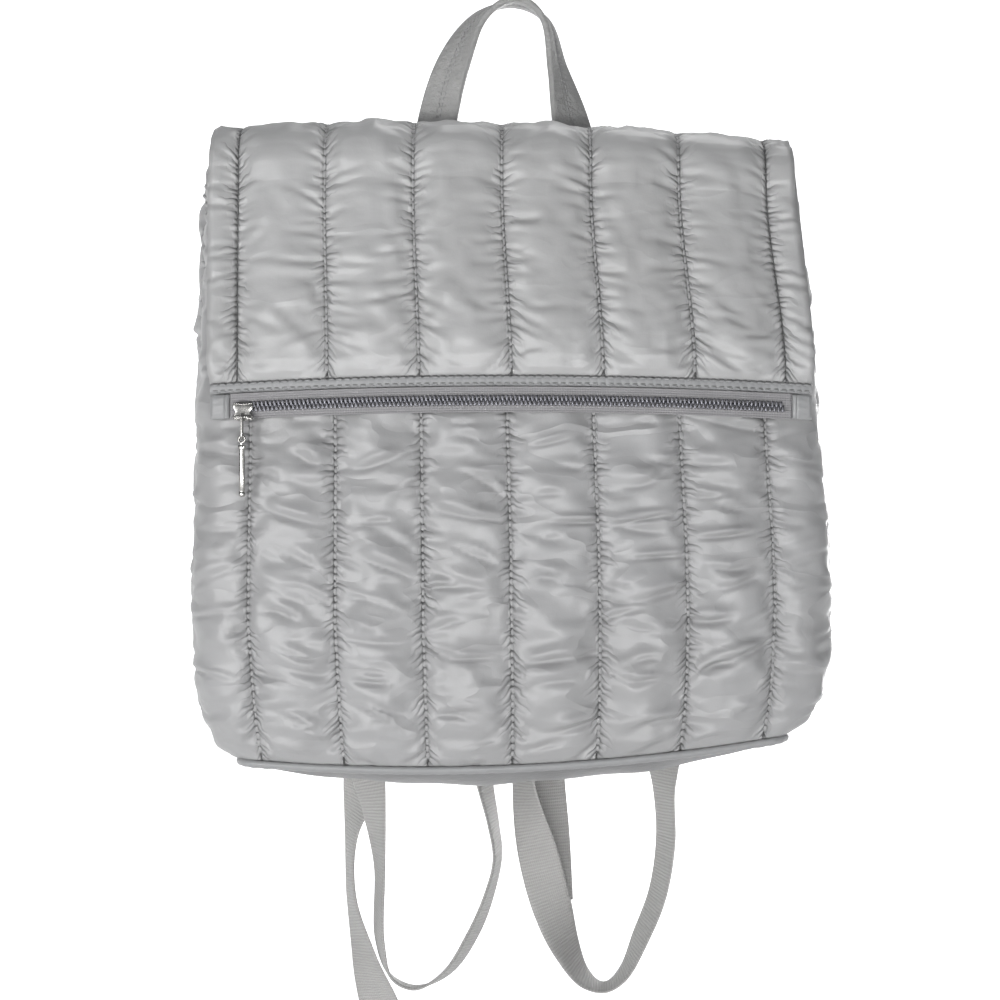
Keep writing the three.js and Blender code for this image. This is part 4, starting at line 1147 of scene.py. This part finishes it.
class Finish:
    """A material under construction: its nodes are added one by one and feed its principled surface."""

    def __init__(self, name, roughness, **constants):
        self.material = bpy.data.materials.new(name)
        self.material.use_nodes = True
        self.tree = self.material.node_tree
        self.surface = self.tree.nodes["Principled BSDF"]
        self.surface.inputs["Roughness"].default_value = roughness
        for key, value in constants.items():
            self.surface.inputs[key.replace("_", " ")].default_value = value

    def node(self, kind, settings=None, inputs=None):
        made = self.tree.nodes.new(kind)
        for key, value in (settings or {}).items():
            setattr(made, key, value)
        for key, value in (inputs or {}).items():
            self.feed(made.inputs[key], value)
        return made

    def feed(self, socket, value):
        if isinstance(value, Signal):
            self.tree.links.new(value.socket, socket)
        else:
            socket.default_value = value

    def signal(self, kind, output, settings=None, inputs=None):
        return Signal(self, self.node(kind, settings, inputs).outputs[output])

    def math(self, kind, first, second=0.0):
        return self.signal("ShaderNodeMath", 0, {"operation": kind}, {0: first, 1: second})

    def place(self):
        return self.signal("ShaderNodeTexCoord", "Object")

    def cloth_way(self):
        """Metres across and along the cloth."""
        pattern = self.signal("ShaderNodeUVMap", 0, {"uv_map": "cloth"})
        split = self.node("ShaderNodeSeparateXYZ", None, {0: pattern})
        return Signal(self, split.outputs[0]), Signal(self, split.outputs[1])

    def noise(self, scale, detail=3.0, where=None, roughness=0.5):
        inputs = {"Vector": where or self.place(), "Scale": scale, "Detail": detail, "Roughness": roughness}
        return self.signal("ShaderNodeTexNoise", 0, None, inputs)

    def stretched(self, x, y, z):
        """The object's own place, scaled differently along each axis."""
        inputs = {0: self.place(), 1: (x, y, z)}
        return self.signal("ShaderNodeVectorMath", 0, {"operation": "MULTIPLY"}, inputs)

    def tint(self, share, low, high):
        """A colour between two colours."""
        ends = [end if isinstance(end, Signal) else (*end, 1) for end in (low, high)]
        return self.signal("ShaderNodeMix", 2, {"data_type": "RGBA"}, {0: share, 6: ends[0], 7: ends[1]})

    def bump(self, height, depth, before=None):
        inputs = {"Height": height, "Distance": depth * MM, "Strength": 1.0}
        if before is not None:
            inputs["Normal"] = before
        return self.signal("ShaderNodeBump", 0, None, inputs)

    def finish(self, colour=None, roughness=None, normal=None):
        for name, value in (("Base Color", colour), ("Roughness", roughness), ("Normal", normal)):
            if value is not None:
                self.feed(self.surface.inputs[name], value)
        return self.material


def nylon(cloth, gloss):
    """What all shiny cloth shares: slow drifts of colour, blotches, a fine weave and its roughness."""
    drift = cloth.noise(7.0, 2.0)
    blotch = cloth.noise(38.0, 3.0)
    weave = cloth.noise(1500.0, 1.0, cloth.stretched(1, 1, 0.35))
    return drift, blotch, weave, (gloss - 0.05 + blotch * 0.1 + weave * 0.04).clamped(0.1, 0.9)


def satin(name, pale, deep, gloss=0.36, wrinkle=0.35):
    """Shiny nylon satin: a fine weave, faint creases and slow drifts of colour."""
    cloth = Finish(name, gloss, Sheen_Weight=0.12, Sheen_Roughness=0.4)
    drift, blotch, weave, rough = nylon(cloth, gloss)
    share = (drift * 0.9 + blotch * 0.5 - 0.2).clamped(0, 1)
    crumple = cloth.noise(170.0, 4.0, cloth.stretched(1, 1, 1.5), 0.6)
    normal = cloth.bump(weave, 0.035, cloth.bump(crumple, wrinkle))
    return cloth.finish(cloth.tint(share, deep, pale), rough, normal)


def quilted(name, pale, deep, creases, folds, gloss):
    """Padded satin: sharp fine creases that run out from each seam, and looser folds between the seams.
    Painted shade darkens its colour in the creases' valleys and beside the seams.
    """
    cloth = Finish(name, gloss, Sheen_Weight=0.1, Sheen_Roughness=0.4)
    near, count = (cloth.signal("ShaderNodeAttribute", "Fac", {"attribute_name": kept})
                   for kept in ("seam_distance", "crease_count"))
    drift, blotch, weave, rough = nylon(cloth, gloss)
    phase = count + cloth.noise(85.0, 2.0) * 2.2
    whole = cloth.math("FLOOR", phase)
    each = cloth.signal("ShaderNodeTexWhiteNoise", 0, {"noise_dimensions": "1D"}, {"W": whole})
    reach = each * each * 9.0 + 1.8
    fade = (1.0 - cloth.math("DIVIDE", near, reach)).clamped(0, 1)
    pleat = (phase * math.pi).sine().absolute()
    puckers = pleat * fade
    slack = cloth.noise(24.0, 2.0, cloth.stretched(0.75, 0.75, 1.5), 0.5)
    loose = (1.0 - (slack * 2.0 - 1.0).absolute() * 5.0).clamped(0, 1)
    soft = cloth.noise(160.0, 3.0, cloth.stretched(1, 1, 1.6), 0.6)
    normal = cloth.bump(loose, folds, cloth.bump(puckers, creases, cloth.bump(soft, 0.12)))
    normal = cloth.bump(weave, 0.03, normal)
    share = (drift * 0.8 + blotch * 0.45 - 0.12).clamped(0, 1)
    colour = cloth.tint(share, deep, pale)
    # Painted shade: the colour darkens close to the seams and in the valleys of the fine creases.
    painted_seam_shade = cloth.math("EXPONENT", near * -0.9) * 0.6
    painted_crease_and_seam_shade = ((1.0 - pleat) * (1.0 - pleat) * fade * 0.75 + painted_seam_shade).clamped(0, 1)
    return cloth.finish(cloth.tint(painted_crease_and_seam_shade, colour, [0.3 * part for part in deep]), rough, normal)


def ribbed(name, pale, deep, rib, across_rib, depth, gloss):
    """Woven webbing or tape: ribs across its length, lines along it and small unevenness in its yarns."""
    cloth = Finish(name, gloss, Sheen_Weight=0.2, Sheen_Roughness=0.5)
    side, along = cloth.cloth_way()
    uneven = cloth.noise(260.0, 3.0)
    drift = cloth.noise(22.0, 2.0)
    ribs = (along * (2 * math.pi / (rib * MM)) + uneven * 2.5).sine()
    lines = (side * (2 * math.pi / (across_rib * MM)) + uneven * 1.2).sine()
    height = ribs * 0.5 + lines * ribs.absolute() * 0.35 + uneven * 0.7
    share = (ribs * 0.2 + lines * 0.12 + drift * 0.6 + uneven * 0.25 + 0.12).clamped(0, 1)
    rough = (gloss - 0.06 + uneven * 0.12).clamped(0.1, 0.95)
    return cloth.finish(cloth.tint(share, deep, pale), rough, cloth.bump(height, depth))


def metal(name, pale, deep, gloss, scratch):
    """Plated metal with faint smudges and fine scratches."""
    plate = Finish(name, gloss, Metallic=1.0)
    smudge = plate.noise(220.0, 4.0)
    fine = plate.noise(900.0, 2.0, plate.stretched(1, 1, 0.2))
    rough = (gloss - 0.04 + smudge * 0.1 + fine * scratch).clamped(0.03, 0.9)
    return plate.finish(plate.tint(smudge, deep, pale), rough, plate.bump(fine, 0.012))


sack_satin = quilted("sack_satin", (0.33, 0.331, 0.335), (0.255, 0.254, 0.254), 1.0, 0.8, 0.37)
# Painted light: the flap's satin is the sack's satin made about 1.12 times paler, though both are one cloth.
flap_satin = quilted("flap_satin", (0.37, 0.371, 0.374), (0.29, 0.289, 0.286), 1.0, 0.25, 0.37)
bead_satin = satin("seam_satin", (0.3, 0.3, 0.3), (0.23, 0.23, 0.233), gloss=0.45, wrinkle=0.1)
hem_satin = satin("hem_satin", (0.27, 0.273, 0.277), (0.2, 0.202, 0.205), gloss=0.42, wrinkle=0.15)
trim_satin = satin("trim_satin", (0.28, 0.283, 0.286), (0.21, 0.212, 0.215), gloss=0.4, wrinkle=0.25)
handle_satin = satin("handle_satin", (0.33, 0.33, 0.325), (0.19, 0.19, 0.186), gloss=0.42, wrinkle=2.2)
base_satin = satin("base_satin", (0.16, 0.16, 0.163), (0.11, 0.11, 0.113), gloss=0.45)
thread = satin("thread", (0.13, 0.13, 0.13), (0.08, 0.08, 0.08), gloss=0.5, wrinkle=0.05)
webbing_weave = ribbed("webbing_weave", (0.38, 0.376, 0.368), (0.25, 0.246, 0.24), 1.9, 1.25, 0.25, 0.62)
tape_weave = ribbed("tape_weave", (0.24, 0.235, 0.242), (0.17, 0.167, 0.173), 1.3, 0.9, 0.12, 0.5)
gunmetal = metal("gunmetal", (0.15, 0.15, 0.162), (0.055, 0.055, 0.064), 0.3, 0.12)
chrome = metal("chrome", (0.44, 0.435, 0.42), (0.28, 0.275, 0.262), 0.16, 0.08)
glide_metal = metal("glide_metal", (0.3, 0.3, 0.31), (0.2, 0.2, 0.21), 0.38, 0.1)


def settle(obj, material, node=None, body="bag"):
    """Gives a piece its material and body, and hides the part's node that it replaces."""
    obj.data.materials.clear()
    obj.data.materials.append(material)
    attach(obj, body)
    if node:
        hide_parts(node)
    return obj


def handle_profile():
    """The handle's section: cloth folded to the middle, where a seam holds both edges down."""
    share, flank = strap_ring(15)
    groove = 1 - 0.42 * np.exp(-(share / 0.1) ** 2) - 0.12 * np.exp(-((np.abs(share) - 0.8) / 0.07) ** 2)
    return share, flank * groove


# The padded cloth.
sack, sack_outside = make_sack()
settle(smooth_faces(sack), sack_satin, "quilted_sack")
flap, flap_outside = make_flap()
settle(smooth_faces(flap), flap_satin, "fold_over_flap")

# The quilting stitches along the channels' seams.
sack_outs = outward(sack_outside, True)
sack_seams = [(sack_outside[4:-3, column], sack_outs[4:-3, column])
              for column in range(0, CHANNELS * SACK_PER_CHANNEL, SACK_PER_CHANNEL)]
flap_outs = -outward(flap_outside, False)
first_seam = flap_offsets(FLAP_PER_CHANNEL)[2]
flap_seams = [(flap_outside[3:-3, column], flap_outs[3:-3, column])
              for column in range(first_seam, flap_outside.shape[1], FLAP_PER_CHANNEL)]
for name, seams, size, pitch, lift, material in (
    ("sack_seam_stitches", sack_seams, (2.0, 1.35, 0.6), 3.9, 0.35, bead_satin),
    ("flap_seam_stitches", flap_seams[1:-1], (2.1, 1.3, 0.6), 4.1, 0.35, bead_satin),
    ("flap_edge_stitches", flap_seams[::FRONT_CHANNELS], (1.7, 0.5, 0.4), 4.1, 0.2, thread),
):
    settle(seam_beads(name, seams, size, pitch, lift), material)

# The hem and its zip.
settle(smooth_faces(make_hem_band()), hem_satin, "flap_hem_band")
hem_xs = np.linspace(BAG_X - FLAP_HALF_WIDTH + 1, BAG_X + FLAP_HALF_WIDTH - 1, 300)
for name, drop in (("hem_stitches_upper", 1.3), ("hem_stitches_lower", 5.2)):
    line = np.stack([hem_xs, hem_face(hem_xs) - HEM_BAND_THICKNESS / 2 - 0.1, hem_z(hem_xs) - drop], -1)
    settle(stitch_row(name, line, (0, -1, 0), 3.9, 0.4, 0.55), hem_satin)
    line[:, 2] += 0.9
    settle(stitch_row(name + "_thread", line, (0, -1, 0), 3.2, 1.1, 0.28), thread)
settle(smooth_faces(make_zip_tape()), tape_weave, "zip_tape")
settle(make_zip_teeth(), gunmetal, "zip_chain")
for node, side in (("zip_tab_left", -1), ("zip_tab_right", 1)):
    settle(smooth_faces(make_zip_tab(node + "_cloth", side)), trim_satin, node)
for piece, node, body in ((make_slider(), "zip_slider", "bag"), (make_link(), "pull_link", "pull_link"),
                          (make_pull_bar(), "pull_bar", "pull_bar")):
    settle(piece, chrome, node, body)

# The base.
settle(smooth_faces(make_piping()), trim_satin, "base_piping")
settle(smooth_faces(make_base(), 50), base_satin, "base_panel")

# The handle and the straps.
handle, handle_line = make_ribbon("grab_handle_cloth", HANDLE_ROUTE, HANDLE_WIDTH, HANDLE_THICKNESS,
                                  HANDLE_STEPS, handle_profile())
settle(smooth_faces(handle), handle_satin, "grab_handle")
places, wide, face = (part[20:-20] for part in handle_line[:3])
for side, side_name in ((1, "inner"), (-1, "outer")):
    surface = places + face * (side * HANDLE_THICKNESS / 2 * 0.72)
    seams = [(surface + wide * offset, face * side) for offset in (-1.1, 1.1)]
    beads = seam_beads("handle_stitches_" + side_name, seams, (1.3, 0.45, 0.4), 3.4, 0.15)
    settle(beads, bead_satin)
strap_lines = {}
for node, route in (("shoulder_strap_left", STRAP_LEFT_ROUTE), ("shoulder_strap_right", STRAP_RIGHT_ROUTE),
                    ("strap_tail_left", TAIL_LEFT_ROUTE), ("strap_tail_right", TAIL_RIGHT_ROUTE)):
    strap, strap_lines[node] = make_ribbon(node + "_webbing", route, WEBBING_WIDTH, WEBBING_THICKNESS,
                                           STRAP_STEPS)
    settle(smooth_faces(strap, 60), webbing_weave, node)
for name, start, end in (("left_end", *SEWN_TOP), ("right_end", -SEWN_TOP[1], -SEWN_TOP[0])):
    box = sewn_box("handle_stitches_" + name, handle_line, HANDLE_THICKNESS, 9.5, start, end)
    settle(box, thread)
for end_name, (start, end) in (("top", SEWN_TOP), ("foot", SEWN_FOOT)):
    for side_name in ("left", "right"):
        line = strap_lines["shoulder_strap_" + side_name]
        name = "strap_stitches_" + side_name + "_" + end_name
        settle(sewn_box(name, line, WEBBING_THICKNESS, 10, start, end), thread)
for node, place in (("strap_glide_left", GLIDE_LEFT), ("strap_glide_right", GLIDE_RIGHT)):
    settle(make_glide(node + "_frame", place), glide_metal, node)

# The studio: a pale floor that rises into a pale wall, soft lights and the photograph's camera.
FLOOR_Z = -0.72
FLOOR_FRONT_Y = -7.0
FLOOR_HALF_WIDTH = 9
WALL_Y = 4.6
WALL_HEIGHT = 7
BEND = 1.4
PAPER_GREY = (0.85, 0.85, 0.85, 1)
CAMERA_PLACE = (-0.010, -1.2, -0.294)
CAMERA_LENS = 72.7
CAMERA_SENSOR = 36


def make_studio():
    """The studio's paper, lit a little from within so that it stays pale behind the bag."""
    angle = np.linspace(0, np.pi / 2, 24)
    y = np.concatenate([[FLOOR_FRONT_Y], WALL_Y - BEND + BEND * np.sin(angle), [WALL_Y]])
    z = np.concatenate([[FLOOR_Z], FLOOR_Z + BEND * (1 - np.cos(angle)), [FLOOR_Z + WALL_HEIGHT]])
    x = np.linspace(-FLOOR_HALF_WIDTH, FLOOR_HALF_WIDTH, 9)
    points = np.stack(np.broadcast_arrays(x[None], y[:, None], z[:, None]), -1) / MM
    obj = cloth_grid("studio_floor", points)
    plain = Finish("studio_paper", 0.9)
    plain.surface.inputs["Base Color"].default_value = PAPER_GREY
    split = plain.node("ShaderNodeSeparateXYZ", None, {0: plain.place()})
    back, up = Signal(plain, split.outputs[1]), Signal(plain, split.outputs[2])
    share = (back * 0.9 + 0.35).clamped(0, 1) * (2.4 - up).clamped(0, 1)
    plain.feed(plain.surface.inputs["Emission Color"], plain.tint(share, (0.15, 0.15, 0.15), (1, 1, 1)))
    plain.surface.inputs["Emission Strength"].default_value = 0.85
    obj.data.materials.append(plain.finish())
    return smooth_faces(obj)


make_studio()


LIGHT_AIM = Vector((0, -0.05, -0.28))
for name, place, size, power in (
    ("key_light", (-1.25, -1.7, -0.35), (0.7, 0.9), 23),
    ("fill_light", (1.4, -1.6, -0.3), (0.6, 1.0), 2.5),
    ("front_light", (0.0, -2.3, -0.85), (1.4, 0.6), 98),
    ("back_light", (0.9, 2.0, -0.45), (0.9, 0.8), 22),
    ("top_light", (0.3, 0.8, 1.5), (1.0, 1.0), 12),
):
    data = bpy.data.lights.new(name, "AREA")
    data.shape = "RECTANGLE"
    data.size, data.size_y = size
    data.energy = power
    light = add_object(name, data)
    light.location = place
    light.rotation_euler = (LIGHT_AIM - Vector(place)).to_track_quat("-Z", "Y").to_euler()

# Dim air lights the bag from all sides, and the camera sees pale air where the paper ends.
world = bpy.data.worlds.new("studio_air")
world.use_nodes = True
nodes = world.node_tree.nodes
dim_air, pale_air = nodes["Background"], nodes.new("ShaderNodeBackground")
dim_air.inputs[0].default_value = (0.93, 0.95, 1, 1)
dim_air.inputs[1].default_value = 0.2
pale_air.inputs[0].default_value = PAPER_GREY
seen, air = nodes.new("ShaderNodeLightPath"), nodes.new("ShaderNodeMixShader")
for socket, source in enumerate((seen.outputs["Is Camera Ray"], dim_air.outputs[0], pale_air.outputs[0])):
    world.node_tree.links.new(source, air.inputs[socket])
world.node_tree.links.new(air.outputs[0], nodes["World Output"].inputs[0])
bpy.context.scene.world = world
bpy.context.scene.view_settings.view_transform = "Standard"

camera_data = bpy.data.cameras.new("photo_camera")
camera_data.lens = CAMERA_LENS
camera_data.sensor_width = CAMERA_SENSOR
camera = add_object("photo_camera", camera_data)
camera.location = CAMERA_PLACE
camera.rotation_euler = (math.pi / 2, 0, 0)
bpy.context.scene.camera = camera
